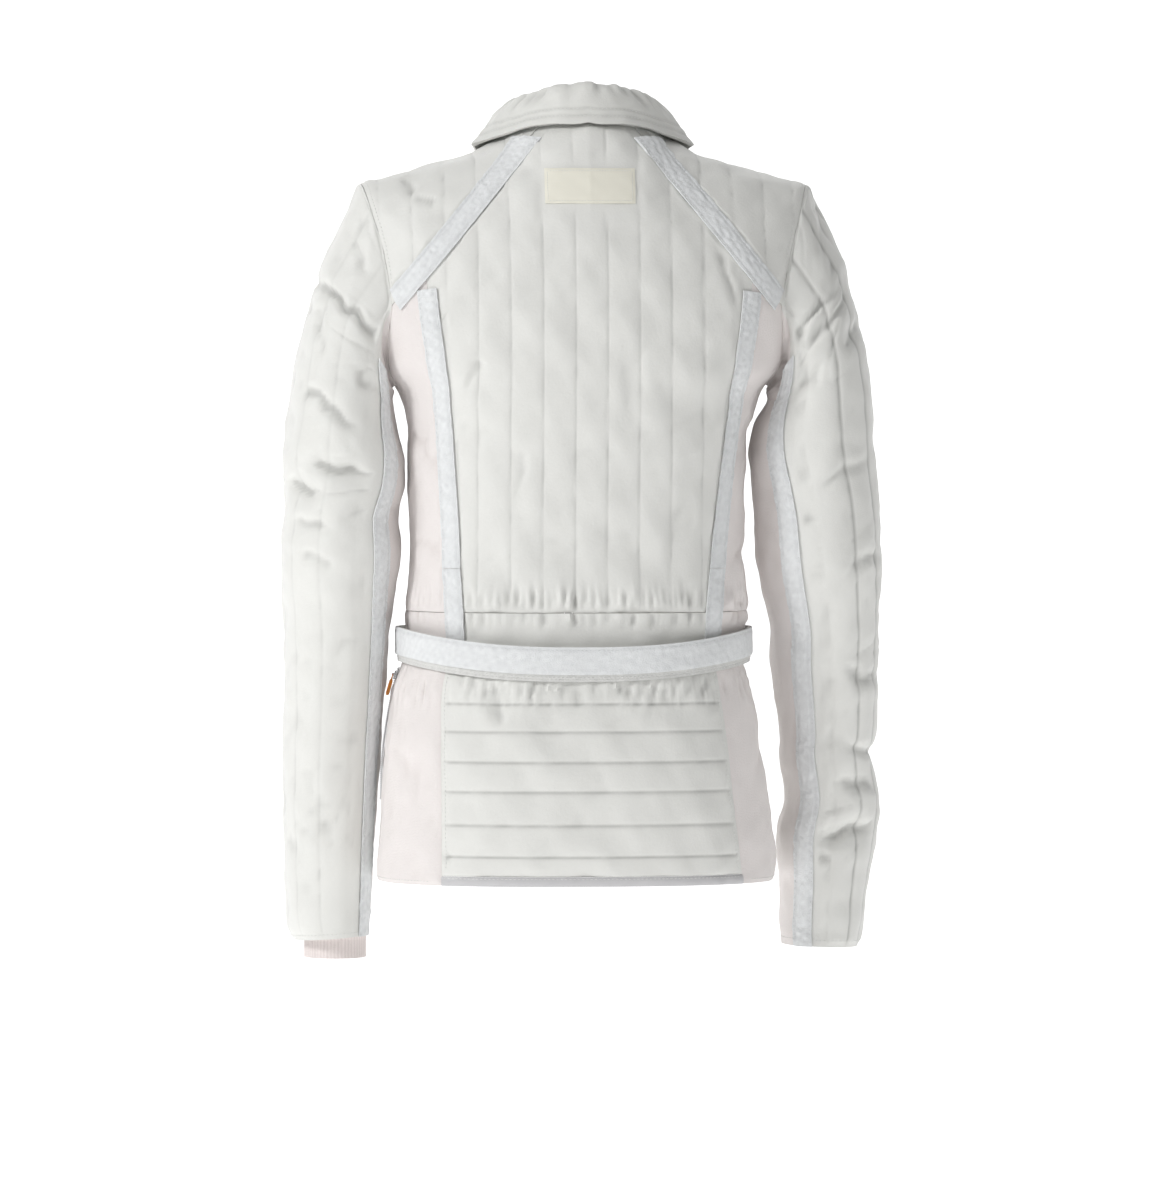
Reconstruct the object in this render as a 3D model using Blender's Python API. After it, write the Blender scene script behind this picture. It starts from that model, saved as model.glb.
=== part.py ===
"""Fencing jacket in the shape it takes when worn.

Sizes are metres. The wearer faces -Y, the wearer's left is +X and +Z is up. The origin lies
inside the neck at the height of the shoulder points, where the shoulders hold the jacket up.
Each cloth piece is a closed wall: an outer and an inner grid set off from one smooth form,
the skin for the body and the arm for a sleeve, so that neighbours meet at even seams.
"""

import math

import bmesh
import bpy
import numpy as np
from mathutils import Matrix

# Cloth thicknesses and clearances
WALL = 0.0020
TAPE_WALL = 0.0012
SEAM_INSET = 0.00016
ON_CLOTH = 0.00050
TAPE_OFF = 0.00095
UNDER_COLLAR_OFF = 0.0010
QUILT_HEIGHT = 0.0022
QUILT_PITCH = 0.0279
OUTER_LINES = (16, 18)
EDGE_RISE = 0.008
TAPE_CLEAR = 0.0098

# Heights on the body
ARMPIT_Z = -0.2100
WAIST_Z = -0.4045
HEM_Z = -0.6412
BINDING_HEIGHT = 0.0084
BINDING_EXTRA = 0.0004
TAPE_END_Z = -0.4292
BODY_SHARES = (0.0, 0.126, 0.33, 0.50, 0.60, 0.68, 0.76, 0.87, 1.0)
QUILT_LINES = (-0.4840, -0.5080, -0.5342, -0.5597, -0.5887, -0.6160)
SKIRT_ROWS = (WAIST_Z - 2 * SEAM_INSET, TAPE_END_Z, -0.4580, *QUILT_LINES,
              HEM_Z + BINDING_HEIGHT, HEM_Z)

# Widths of the tapes and of the zips
TAPE_WIDTH = 0.0180
UNDER_TAPE = 0.0108
SIDE_TAPE_DROP = 0.0215
HARD_ROUND = 0.45
ZIP_WIDTH = 0.0070
ZIP_WALL = 0.0010

# Neck opening
NECK_HALF_WIDTH = 0.066
NECK_BACK_Y = 0.0590
NECK_FRONT_Y = 0.0780
DIAGONAL_TOP_X = 0.042

# Roundness of the body sections (sides) and of the shoulders (over the top)
RING_POWER = 0.80
SHOULDER_POWER = 0.87
ARM_POWER = 0.92

BODY_NAMES = ("z", "centre", "half_width", "back", "front")
BODY_ROWS = (
    (0.0600, 0.0000, 0.2220, 0.1100, 0.0820),
    (0.0000, 0.0000, 0.2190, 0.1120, 0.0880),
    (-0.0320, 0.0000, 0.2155, 0.1130, 0.0940),
    (-0.0970, 0.0000, 0.2000, 0.1140, 0.1060),
    (-0.1380, 0.0010, 0.1925, 0.1140, 0.1130),
    (-0.1700, 0.0015, 0.1835, 0.1135, 0.1160),
    (-0.1950, 0.0020, 0.1715, 0.1130, 0.1170),
    (-0.2100, 0.0026, 0.1590, 0.1120, 0.1170),
    (-0.2385, 0.0035, 0.1510, 0.1100, 0.1150),
    (-0.2702, 0.0052, 0.1483, 0.1070, 0.1110),
    (-0.3080, 0.0060, 0.1465, 0.1030, 0.1060),
    (-0.3458, 0.0057, 0.1457, 0.1000, 0.1020),
    (-0.3819, 0.0055, 0.1470, 0.1010, 0.1000),
    (-0.4039, 0.0057, 0.1495, 0.1030, 0.1000),
    (-0.4312, 0.0080, 0.1455, 0.1010, 0.0970),
    (-0.4664, 0.0095, 0.1535, 0.1100, 0.1010),
    (-0.5034, 0.0092, 0.1615, 0.1170, 0.1050),
    (-0.5359, 0.0084, 0.1663, 0.1210, 0.1080),
    (-0.5711, 0.0070, 0.1690, 0.1230, 0.1100),
    (-0.6081, 0.0060, 0.1727, 0.1240, 0.1110),
    (-0.6400, 0.0065, 0.1738, 0.1240, 0.1110),
    (-0.6600, 0.0065, 0.1740, 0.1240, 0.1110),
)

# Height of the shoulder ridge over the distance from the middle
RIDGE_NAMES = ("x", "z")
RIDGE_ROWS = (
    (0.0000, 0.0500),
    (0.0300, 0.0400),
    (0.0500, 0.0260),
    (0.0660, 0.0125),
    (0.0977, -0.0045),
    (0.1300, -0.0140),
    (0.1650, -0.0245),
    (0.1960, -0.0315),
    (0.2150, -0.0370),
    (0.2400, -0.0450),
)

# Seam between the back and the side panels: x on the wearer's left and right
BACK_SEAM_NAMES = ("z", "left", "right")
BACK_SEAM_ROWS = (
    (-0.0600, 0.1417, -0.1417),
    (-0.1126, 0.1417, -0.1417),
    (-0.2340, 0.1262, -0.1258),
    (-0.3000, 0.1218, -0.1180),
    (-0.3652, 0.1192, -0.1118),
    (-0.4040, 0.1172, -0.1082),
    (-0.4290, 0.1160, -0.1068),
    (-0.4646, 0.1270, -0.1118),
    (-0.5148, 0.1294, -0.1188),
    (-0.5658, 0.1294, -0.1240),
    (-0.6169, 0.1294, -0.1302),
    (-0.6450, 0.1294, -0.1335),
)

# Seam between the side panels and the fronts: degrees forward of the side
FRONT_SEAM_NAMES = ("z", "degrees")
FRONT_SEAM_ROWS = (
    (-0.1500, 23.8),
    (-0.2100, 21.0),
    (-0.3000, 13.0),
    (-0.4040, 7.0),
    (-0.4600, 5.5),
    (-0.6600, 5.0),
)

# Armhole from the shoulder tip (share 0) to the armpit (share 1): degrees back of the side,
# and level over the shoulder, where 1 is the ridge and 0 the armpit
ARMHOLE_NAMES = ("share", "degrees", "level")
ARMHOLE_ROWS = (
    (0.000, 27.6, 1.0000),
    (0.125, 29.5, 0.7560),
    (0.250, 31.0, 0.5220),
    (0.375, 31.8, 0.3330),
    (0.500, 31.6, 0.2233),
    (0.625, 27.5, 0.1610),
    (0.750, 21.0, 0.0956),
    (0.875, 11.5, 0.0367),
    (1.000, 0.0, 0.0020),
)
FRONT_JOIN_SHARE = 0.75
ARMHOLE_CELLS = 8
ARCH_RADIUS = 0.0035

# Sleeves: outer and inner edge of each ring, its middle in depth and half depth, and the
# angle of the back seam from the outer edge
ARM_NAMES = ("outer_x", "outer_z", "inner_x", "inner_z", "middle_y", "half_depth", "seam")
ARM_LEFT = (
    (0.1954, -0.0308, 0.1682, -0.2094, 0.000, 0.0640, 90.0),
    (0.2182, -0.0722, 0.1686, -0.2125, 0.000, 0.0670, 116.0),
    (0.2376, -0.1320, 0.1690, -0.2160, 0.000, 0.0690, 133.0),
    (0.2508, -0.1848, 0.1690, -0.2220, -0.001, 0.0695, 141.0),
    (0.2587, -0.2376, 0.1663, -0.2411, -0.002, 0.0685, 140.0),
    (0.2631, -0.2684, 0.1586, -0.2684, -0.003, 0.0670, 135.0),
    (0.2614, -0.2948, 0.1578, -0.2930, -0.004, 0.0655, 132.0),
    (0.2614, -0.3212, 0.1637, -0.3212, -0.006, 0.0640, 128.0),
    (0.2640, -0.3520, 0.1602, -0.3520, -0.008, 0.0625, 126.5),
    (0.2628, -0.3872, 0.1645, -0.3872, -0.016, 0.0595, 130.0),
    (0.2607, -0.4224, 0.1695, -0.4224, -0.026, 0.0570, 134.5),
    (0.2606, -0.4840, 0.1745, -0.4840, -0.040, 0.0545, 138.0),
    (0.2614, -0.5544, 0.1785, -0.5544, -0.053, 0.0515, 139.0),
    (0.2596, -0.6248, 0.1828, -0.6248, -0.062, 0.0480, 142.0),
    (0.2571, -0.6770, 0.1857, -0.6740, -0.066, 0.0455, 144.0),
    (0.2522, -0.6975, 0.1874, -0.6930, -0.067, 0.0440, 145.0),
)
ARM_RIGHT = (
    (-0.1962, -0.0326, -0.1638, -0.2094, 0.000, 0.0640, 90.0),
    (-0.2170, -0.0660, -0.1640, -0.2125, 0.000, 0.0670, 114.0),
    (-0.2367, -0.1320, -0.1640, -0.2165, 0.000, 0.0690, 130.0),
    (-0.2490, -0.1866, -0.1628, -0.2235, -0.001, 0.0695, 138.0),
    (-0.2543, -0.2376, -0.1530, -0.2430, -0.002, 0.0685, 134.0),
    (-0.2552, -0.2658, -0.1482, -0.2684, -0.003, 0.0670, 129.0),
    (-0.2578, -0.2948, -0.1505, -0.2966, -0.004, 0.0655, 125.0),
    (-0.2605, -0.3256, -0.1531, -0.3256, -0.006, 0.0640, 122.0),
    (-0.2622, -0.3652, -0.1558, -0.3652, -0.009, 0.0615, 120.0),
    (-0.2614, -0.4180, -0.1684, -0.4180, -0.024, 0.0575, 120.0),
    (-0.2614, -0.4532, -0.1702, -0.4532, -0.032, 0.0560, 119.0),
    (-0.2615, -0.5113, -0.1785, -0.5113, -0.045, 0.0530, 121.0),
    (-0.2577, -0.5342, -0.1800, -0.5342, -0.049, 0.0520, 121.0),
    (-0.2648, -0.5738, -0.1843, -0.5738, -0.056, 0.0505, 121.0),
    (-0.2642, -0.6063, -0.1778, -0.6063, -0.060, 0.0490, 121.0),
    (-0.2568, -0.6459, -0.1809, -0.6459, -0.064, 0.0470, 121.0),
    (-0.2521, -0.6860, -0.1812, -0.6850, -0.067, 0.0450, 121.0),
    (-0.2484, -0.7055, -0.1831, -0.7035, -0.067, 0.0440, 121.0),
)
ARMHOLE_BLEND = 3.0
ARCH_END = 1.0
RING_START = 1.5
ARM_STEP = 0.25
UNDER_FRONT_DEGREES = 130.0
UNDER_FRONT_AT_ARMHOLE = 90.0

# Largest sleeve folds: both ends as seen from behind, half width and depth
# Columns: x0, z0, x1, z1, half width, depth
FOLDS_LEFT = (
    (0.2380, -0.1120, 0.1680, -0.1800, 0.0120, 0.0050),
    (0.2520, -0.2690, 0.1880, -0.2860, 0.0120, 0.0040),
    (0.2600, -0.2880, 0.2300, -0.3050, 0.0100, 0.0035),
)
FOLDS_RIGHT = (
    (-0.1620, -0.2080, -0.2180, -0.1480, 0.0110, 0.0050),
    (-0.1900, -0.2050, -0.2420, -0.1450, 0.0110, 0.0040),
    (-0.2030, -0.6100, -0.2600, -0.5930, 0.0110, 0.0045),
)

# Belt heights at the sides, and how much lower it hangs at the middle of the back
BELT_TOP_Z = -0.4190
BELT_SAG = 0.0150
BELT_FACE_HEIGHT = 0.0240
BELT_BACKING_HEIGHT = 0.0300
BELT_OFF = 0.0037
BELT_WALL = 0.0014
BELT_GAP_X = 0.0100
BELT_ROOM = 0.0045

# Collar: the roll line and the lower edge of the fall
COLLAR_NAMES = ("half_width", "back_y", "front_y", "back_z", "side_z", "front_z")
COLLAR_ROW = (0.0575, 0.0575, -0.0640, 0.0545, 0.0425, 0.0040)
COLLAR_OPEN_X = 0.0040
FALL_EDGE_HALF_WIDTH = 0.0940
FALL_EDGE_BACK_Y = 0.0625
FALL_EDGE_FRONT_Y = 0.0860
FALL_OFF = 0.0068
FALL_WALL = 0.0032
FALL_START_IN = 0.0016
FALL_BULGE_OUT = 0.0085
FALL_BULGE_UP = 0.0035
STAND_WALL = 0.0022
ROLL_GAP = 0.0018
FRONT_FOOT_GAP = 0.0018
BACK_FOOT_GAP = 0.0005

# Label on the back of the neck
LABEL_WIDTH = 0.0780
LABEL_TOP_Z = -0.0195
LABEL_BOTTOM_Z = -0.0500
LABEL_WALL = 0.0008

# Cuffs: centre, half width and half depth at the wrist, and the lower end
# Columns: side, x, y, half width, half depth, lower end, sleeve row at the upper end
CUFF_ROWS = (
    (1, 0.2160, -0.0640, 0.0262, 0.0300, -0.7135, 14.2),
    (-1, -0.2165, -0.0650, 0.0262, 0.0300, -0.6975, 15.6),
)
CUFF_WALL = 0.0016
CUFF_IN = 0.0011
CUFF_COLUMNS = 18

# Zips
FRONT_ZIP_TOP_Z = -0.0420
FRONT_SLIDER_Z = -0.0580
POCKET_ZIP_TOP_Z = -0.4560
POCKET_ZIP_BOTTOM_Z = -0.5720
POCKET_SLIDER_Z = -0.4630
# Slider layers. Columns: distance out, half width, half height
SLIDER_LAYERS = (
    (0.0000, 0.0026, 0.0036),
    (0.0003, 0.0030, 0.0040),
    (0.0012, 0.0030, 0.0040),
    (0.0014, 0.0027, 0.0037),
    (0.0014, 0.0006, 0.0013),
    (0.0031, 0.0006, 0.0013),
    (0.0034, 0.0006, 0.0008),
)
PIVOT_OUT = 0.0024
PULL_NAMES = ("z", "half_width", "half_thick")
FRONT_PULL_ROWS = (
    (0.0006, 0.0023, 0.0004),
    (-0.0024, 0.0023, 0.0005),
    (-0.0048, 0.0026, 0.0005),
    (-0.0080, 0.0030, 0.0008),
    (-0.0200, 0.0032, 0.0008),
    (-0.0220, 0.0024, 0.0006),
)
POCKET_PULL_ROWS = (
    (0.0006, 0.0023, 0.0004),
    (-0.0024, 0.0023, 0.0005),
    (-0.0040, 0.0026, 0.0006),
    (-0.0058, 0.0030, 0.0015),
    (-0.0170, 0.0032, 0.0016),
    (-0.0190, 0.0026, 0.0010),
)
FORK_HALF_SLOT = 0.0010

STEP = 1e-3


def column(rows, names, key):
    """Values of one named column of a table."""
    return np.array([row[names.index(key)] for row in rows], float)


def smooth(at, xs, ys):
    """Value at 'at' of the smooth curve through (xs, ys), xs rising, level outside them."""
    at = np.asarray(at, float)
    slope = np.gradient(ys, xs)
    k = np.clip(np.searchsorted(xs, at) - 1, 0, len(xs) - 2)
    h = xs[k + 1] - xs[k]
    f = np.clip((at - xs[k]) / h, 0.0, 1.0)
    return (
        ys[k] * (1 + 2 * f) * (1 - f) ** 2
        + ys[k + 1] * f * f * (3 - 2 * f)
        + h * slope[k] * f * (1 - f) ** 2
        - h * slope[k + 1] * f * f * (1 - f)
    )


def by_height(rows, names, key, z):
    """Column of a table whose first column is z from high to low, at height z."""
    return smooth(z, column(rows, names, "z")[::-1], column(rows, names, key)[::-1])


def blend(a, b, f):
    """Straight blend from a to b."""
    return a + (b - a) * f


def ease(f):
    """0 to 1 with flat ends."""
    f = np.clip(f, 0.0, 1.0)
    return f * f * (3 - 2 * f)


def signed_power(v, power):
    """Power of the size with the sign kept."""
    return np.sign(v) * np.abs(v) ** power


def ridge(x):
    """Height of the shoulder ridge at x."""
    return smooth(np.abs(x), column(RIDGE_ROWS, RIDGE_NAMES, "x"),
                  column(RIDGE_ROWS, RIDGE_NAMES, "z"))


def skin(turn, level):
    """Body form. Turn runs from the wearer's left (0) over the back (pi/2) to the right (pi).
    Level is metres under the armpit when negative, and the share of the quarter turn from
    the armpit to the shoulder ridge when positive: x is half width times cos to a power,
    y depth times sin to a power, and over the shoulder y falls as z rises along a rounded arch."""
    turn, level = np.broadcast_arrays(np.asarray(turn, float), np.asarray(level, float))
    across = signed_power(np.cos(turn), RING_POWER)
    along = signed_power(np.sin(turn), RING_POWER)
    over = np.maximum(level, 0.0) * math.pi / 2
    rise = np.abs(np.sin(over)) ** SHOULDER_POWER
    lean = signed_power(np.cos(over), SHOULDER_POWER)
    z = ARMPIT_Z + np.minimum(level, 0.0)
    for _ in range(5):
        x = by_height(BODY_ROWS, BODY_NAMES, "centre", z) + across * by_height(
            BODY_ROWS, BODY_NAMES, "half_width", z)
        z = np.where(level > 0, ARMPIT_Z + (ridge(x) - ARMPIT_Z) * rise,
                     ARMPIT_Z + np.minimum(level, 0.0))
    depth = np.where(along > 0, by_height(BODY_ROWS, BODY_NAMES, "back", z),
                     by_height(BODY_ROWS, BODY_NAMES, "front", z))
    return np.stack([x, depth * along * lean, z], -1)


def unit(v):
    """Vectors of length one."""
    return v / np.maximum(np.linalg.norm(v, axis=-1, keepdims=True), 1e-12)


def skin_normal(turn, level):
    """Outward direction of the body form."""
    a = skin(turn + STEP, level) - skin(turn - STEP, level)
    b = skin(turn, level + STEP) - skin(turn, level - STEP)
    return unit(np.cross(a, b))


def turn_of(x, z):
    """Turn on the back half at which the form has this x at height z."""
    share = (x - by_height(BODY_ROWS, BODY_NAMES, "centre", z)) / by_height(
        BODY_ROWS, BODY_NAMES, "half_width", z)
    return np.arccos(np.clip(signed_power(share, 1 / RING_POWER), -1, 1))


def level_of(x, z):
    """Level of the form at height z and side x."""
    z = np.asarray(z, float)
    share = np.clip((z - ARMPIT_Z) / (ridge(x) - ARMPIT_Z), 0.0, 1.0)
    over = np.arcsin(share ** (1 / SHOULDER_POWER)) / (math.pi / 2)
    return np.where(z > ARMPIT_Z, over, z - ARMPIT_Z)


def height_of(turn, level):
    """Height of a point of the body form."""
    return skin(turn, level)[..., 2]


def back_seam(side, z):
    """Turn of the seam between the back and a side panel."""
    key = "left" if side > 0 else "right"
    return turn_of(by_height(BACK_SEAM_ROWS, BACK_SEAM_NAMES, key, z), z)


def front_seam(side, z):
    """Turn of the seam between a side panel and a front."""
    forward = np.radians(by_height(FRONT_SEAM_ROWS, FRONT_SEAM_NAMES, "degrees", z))
    return -forward if side > 0 else math.pi + forward


def front_edge(side, z):
    """Turn of the edge of a front beside the front zip."""
    middle = by_height(BODY_ROWS, BODY_NAMES, "centre", z)
    forward = turn_of(middle + ZIP_WIDTH / 2 + SEAM_INSET, z)
    return -forward if side > 0 else math.pi + forward


def armhole(side, share, front=False):
    """Turn and level of the armhole, from the shoulder tip (0) to the armpit (1)."""
    shares = column(ARMHOLE_ROWS, ARMHOLE_NAMES, "share")
    back = np.radians(smooth(share, shares, column(ARMHOLE_ROWS, ARMHOLE_NAMES, "degrees")))
    level = smooth(share, shares, column(ARMHOLE_ROWS, ARMHOLE_NAMES, "level"))
    back = -back if front else back
    return (back if side > 0 else math.pi - back), level


def at_depth(x, y):
    """Turn and level of the point of the form over the shoulder with this x and depth y."""
    x, y = np.broadcast_arrays(np.atleast_1d(np.asarray(x, float)), np.asarray(y, float))
    levels = np.linspace(0, 1, 241)
    z = ARMPIT_Z + (ridge(x)[:, None] - ARMPIT_Z) * np.sin(levels * math.pi / 2) ** SHOULDER_POWER
    back = turn_of(x[:, None], z)
    turn = np.where(y[:, None] >= 0, back, -back)
    depth = np.abs(skin(turn, levels)[..., 1])
    level = np.array([np.interp(abs(d), row[::-1], levels[::-1]) for d, row in zip(y, depth)])
    z = ARMPIT_Z + (ridge(x) - ARMPIT_Z) * np.sin(level * math.pi / 2) ** SHOULDER_POWER
    back = turn_of(x, z)
    return np.where(y >= 0, back, -back), level


def round_neck(beta, half_width, back_y, front_y, back_power=1.0):
    """Turn and level of an oval round the neck, seen from above, that lies on the form."""
    s = np.sin(beta)
    back = back_y * np.abs(s) ** back_power
    return at_depth(half_width * np.cos(beta), np.where(s > 0, back, front_y * s))


def neck_at(x, front=False):
    """Turn and level of the neck seam at x."""
    beta = np.arccos(np.clip(np.asarray(x, float) / NECK_HALF_WIDTH, -1, 1))
    return round_neck(-beta if front else beta, NECK_HALF_WIDTH, NECK_BACK_Y, NECK_FRONT_Y)


def neck_z(x):
    """Height of the neck seam at x on the back."""
    x = np.asarray(x, float)
    return height_of(*neck_at(x.ravel())).reshape(x.shape)


def diagonal_ends(side):
    """Both ends, in x and z, of the diagonal seam from the neck to the armhole."""
    end = skin(*armhole(side, 0.5))
    top_z = float(neck_z(np.array([DIAGONAL_TOP_X]))[0])
    return (side * DIAGONAL_TOP_X, top_z), (float(end[0]), float(end[2]))


def diagonal_z(side, x):
    """Height of the diagonal seam at x."""
    (x0, z0), (x1, z1) = diagonal_ends(side)
    return z0 + (x - x0) * (z1 - z0) / (x1 - x0)


def seam_top(side):
    """x and z at which the back seam meets the diagonal."""
    x = by_height(BACK_SEAM_ROWS, BACK_SEAM_NAMES, "left" if side > 0 else "right", -0.10)
    return float(x), float(diagonal_z(side, x))


def lengths(points, axis):
    """Distance from both ends of the grid along an axis."""
    steps = np.linalg.norm(np.diff(points, axis=axis), axis=-1)
    start = np.concatenate([np.zeros_like(np.take(steps, [0], axis)), np.cumsum(steps, axis)], axis)
    return start, np.take(start, [-1], axis) - start


def edge_fade(points, axes=(0, 1)):
    """0 at the edges of a grid, 1 further in than the width over which the quilting rises."""
    near = np.min([d for axis in axes for d in lengths(points, axis)], axis=0)
    return ease(near / EDGE_RISE)


def clear_of(points, lines):
    """0 at grid points that a tape along one of the lines covers, and beside those, else 1."""
    flat = points.reshape(-1, 1, 3)
    away = np.min([np.linalg.norm(flat - line[None], axis=-1).min(1) for line in lines], axis=0)
    near = np.pad(away.reshape(points.shape[:2]) < TAPE_CLEAR, 1)
    rows, cols = points.shape[:2]
    beside = [near[r:r + rows, c:c + cols] for r in range(3) for c in range(3)]
    return 1.0 - np.any(beside, axis=0)


def seam_lines(side):
    """Points along the back seam and the diagonal seam of one side, close together."""
    (x0, z0), (x1, z1) = diagonal_ends(side)
    share = np.linspace(0, 1, 120)
    x, z = blend(x0, x1, share), blend(z0, z1, share)
    down = np.linspace(WAIST_Z, seam_top(side)[1], 160)
    turn = back_seam(side, down)
    return [skin(turn_of(x, z), level_of(x, z)),
            skin(turn, level_of(skin(turn, level_of(0.0, down))[..., 0], down))]


def inset(points, axes=(0, 1)):
    """The grid with its edges drawn in by the seam clearance."""
    points = points.copy()
    for axis in axes:
        p = np.moveaxis(points, axis, 0)
        p[0] += unit(p[1] - p[0]) * SEAM_INSET
        p[-1] += unit(p[-2] - p[-1]) * SEAM_INSET
    return points


def pillows(x):
    """Height share of the quilting at x: 0 on the stitch lines, which are half a pitch off the
    middle, and round between them."""
    return np.abs(np.cos(math.pi * x / QUILT_PITCH)) ** 0.6


def quads(index):
    """Triangles of a grid of vertex numbers."""
    a, b, c, d = index[:-1, :-1], index[:-1, 1:], index[1:, 1:], index[1:, :-1]
    return np.concatenate([np.stack([a, b, c], -1).reshape(-1, 3),
                           np.stack([a, c, d], -1).reshape(-1, 3)])


def wall(outer, inner, round_=False):
    """Vertices and triangles of a closed wall between two grids, joined at its rims. Rims are
    cut along the same diagonals at both ends, so that neighbours' rims lie side by side."""
    rows, cols = outer.shape[:2]
    index = np.arange(rows * cols).reshape(rows, cols)
    if round_:
        index = np.concatenate([index, index[:, :1]], 1)
    count = rows * cols
    faces = [quads(index), quads(index)[:, ::-1] + count]
    rims = [(index[0], True), (index[-1], False)]
    if not round_:
        rims += [(index[:, 0], False), (index[:, -1], True)]
    for rim, turned in rims:
        a, b = rim[:-1], rim[1:]
        for t in (np.stack([a, b, b + count], -1), np.stack([a, b + count, a + count], -1)):
            faces.append(t[:, ::-1] if turned else t)
    return np.concatenate([outer.reshape(-1, 3), inner.reshape(-1, 3)]), np.concatenate(faces)


def outward(verts, faces):
    """The triangles turned so that they face out of the closed body."""
    a, b, c = verts[faces[:, 0]], verts[faces[:, 1]], verts[faces[:, 2]]
    volume = np.einsum("ij,ij->i", a, np.cross(b, c)).sum()
    return faces if volume > 0 else faces[:, ::-1]


def paint(name, colour, roughness, metallic=0.0, sheen=0.0):
    """A material of one colour."""
    material = bpy.data.materials.new(name)
    material.use_nodes = True
    node = material.node_tree.nodes["Principled BSDF"]
    node.inputs["Base Color"].default_value = (*colour, 1.0)
    node.inputs["Roughness"].default_value = roughness
    node.inputs["Metallic"].default_value = metallic
    node.inputs["Sheen Weight"].default_value = sheen
    material.diffuse_color = (*colour, 1.0)
    return material


def solid(name, shape, material, place=None, parent=None):
    """A named object from vertices and triangles, with its origin at 'place'."""
    verts, faces = shape
    faces = outward(verts, faces)
    mesh = bpy.data.meshes.new(name)
    mesh.from_pydata(verts.tolist(), [], faces.tolist())
    mesh.update()
    mesh.polygons.foreach_set("use_smooth", np.ones(len(faces), bool))
    mesh.set_sharp_from_angle(angle=math.radians(50))
    mesh.materials.append(material)
    obj = bpy.data.objects.new(name, mesh)
    bpy.context.scene.collection.objects.link(obj)
    if parent is not None:
        obj.parent = parent
    if place is not None:
        obj.location = place
    return obj


def cloth(name, turn, level, material, raised=0.0, inner=-WALL / 2, outer=WALL / 2,
          seams=(0, 1), extra=()):
    """A panel on the body form. 'raised' is the height of its quilting, and 'extra' the rows
    that its neighbours lack: there its side edges run straight between the rows beside them."""
    points, normal = skin(turn, level), skin_normal(turn, level)
    for row in extra:
        for grid in (points, normal):
            grid[row, [0, -1]] = (grid[row - 1, [0, -1]] + grid[row + 1, [0, -1]]) / 2
    points = inset(points, seams)
    height = np.broadcast_to(np.asarray(raised, float), turn.shape)[..., None]
    shape = wall(points + normal * (outer + height), points + normal * inner)
    return solid(name, shape, material)


def make_materials():
    """The cloths, tapes and hard parts."""
    return {
        "quilted": paint("quilted_cloth", (0.70, 0.69, 0.66), 0.75, sheen=0.2),
        "fleece": paint("fleece_cloth", (0.76, 0.70, 0.68), 0.90, sheen=0.4),
        "tape": paint("loop_tape", (0.76, 0.77, 0.78), 0.85),
        "belt": paint("belt_cloth", (0.66, 0.66, 0.66), 0.80),
        "collar": paint("collar_cloth", (0.68, 0.67, 0.65), 0.75, sheen=0.2),
        "label": paint("label_cloth", (0.80, 0.77, 0.70), 0.80),
        "cuff": paint("cuff_knit", (0.72, 0.65, 0.63), 0.90, sheen=0.4),
        "binding": paint("binding_satin", (0.74, 0.73, 0.71), 0.45),
        "zip": paint("zip_tape", (0.60, 0.60, 0.61), 0.70),
        "metal": paint("slider_metal", (0.55, 0.55, 0.56), 0.35, metallic=1.0),
        "orange": paint("orange_pull", (0.80, 0.24, 0.06), 0.50),
        "pull": paint("zip_pull", (0.62, 0.62, 0.64), 0.45),
    }


def make_back(paints):
    """Centre back. Its middle columns stand at fixed x, a quarter of a quilting pitch apart, the
    outer ones draw together toward the waist. All run up to the diagonal and neck seams."""
    edge = seam_top(1)[0]
    last = 14 * QUILT_PITCH / 4
    half = np.append(QUILT_PITCH / 4 * np.array([*range(1, 15), *OUTER_LINES]), edge)
    top_x = np.concatenate([-half[::-1], [0.0], half])
    side_z = np.where(top_x > 0, diagonal_z(1, top_x), diagonal_z(-1, top_x))
    inner = np.clip(top_x, -DIAGONAL_TOP_X, DIAGONAL_TOP_X)
    top_z = np.where(np.abs(top_x) > DIAGONAL_TOP_X, side_z, neck_z(inner))
    z = blend(WAIST_Z, top_z[None, :], np.array(BODY_SHARES)[:, None])
    x = np.broadcast_to(top_x, z.shape).copy()
    for side in (1, -1):
        seam_x = by_height(BACK_SEAM_ROWS, BACK_SEAM_NAMES, word(side), z)
        share = np.clip((side * top_x - last) / (edge - last), 0, 1)
        x = np.where(share > 0, blend(side * last, seam_x, share), x)
    turn, level = turn_of(x, z), level_of(x, z)
    points = skin(turn, level)
    raised = QUILT_HEIGHT * pillows(x) * edge_fade(points) * label_flat(x, z)
    raised = raised * clear_of(points, seam_lines(1) + seam_lines(-1))
    return cloth("back_panel", turn, level, paints["quilted"], raised)


def label_flat(x, z):
    """1 away from the label and low under it, where its stitching presses the quilting flat."""
    middle = (LABEL_TOP_Z + LABEL_BOTTOM_Z) / 2
    far_x = (np.abs(x) - LABEL_WIDTH / 2) / 0.010
    far_z = (np.abs(z - middle) - (LABEL_TOP_Z - LABEL_BOTTOM_Z) / 2) / 0.020
    return ease(np.maximum(np.maximum(far_x, far_z), 0.0))


def make_label(paints):
    """Blank neck label lying on the back."""
    x = np.linspace(-LABEL_WIDTH / 2, LABEL_WIDTH / 2, 13)[None, :]
    z = np.linspace(LABEL_BOTTOM_Z, LABEL_TOP_Z, 4)[:, None]
    x, z = np.broadcast_arrays(x, z)
    low = WALL / 2 + ON_CLOTH
    return cloth("label", turn_of(x, z), level_of(x, z), paints["label"],
                 inner=low, outer=low + LABEL_WALL, seams=())


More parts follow.
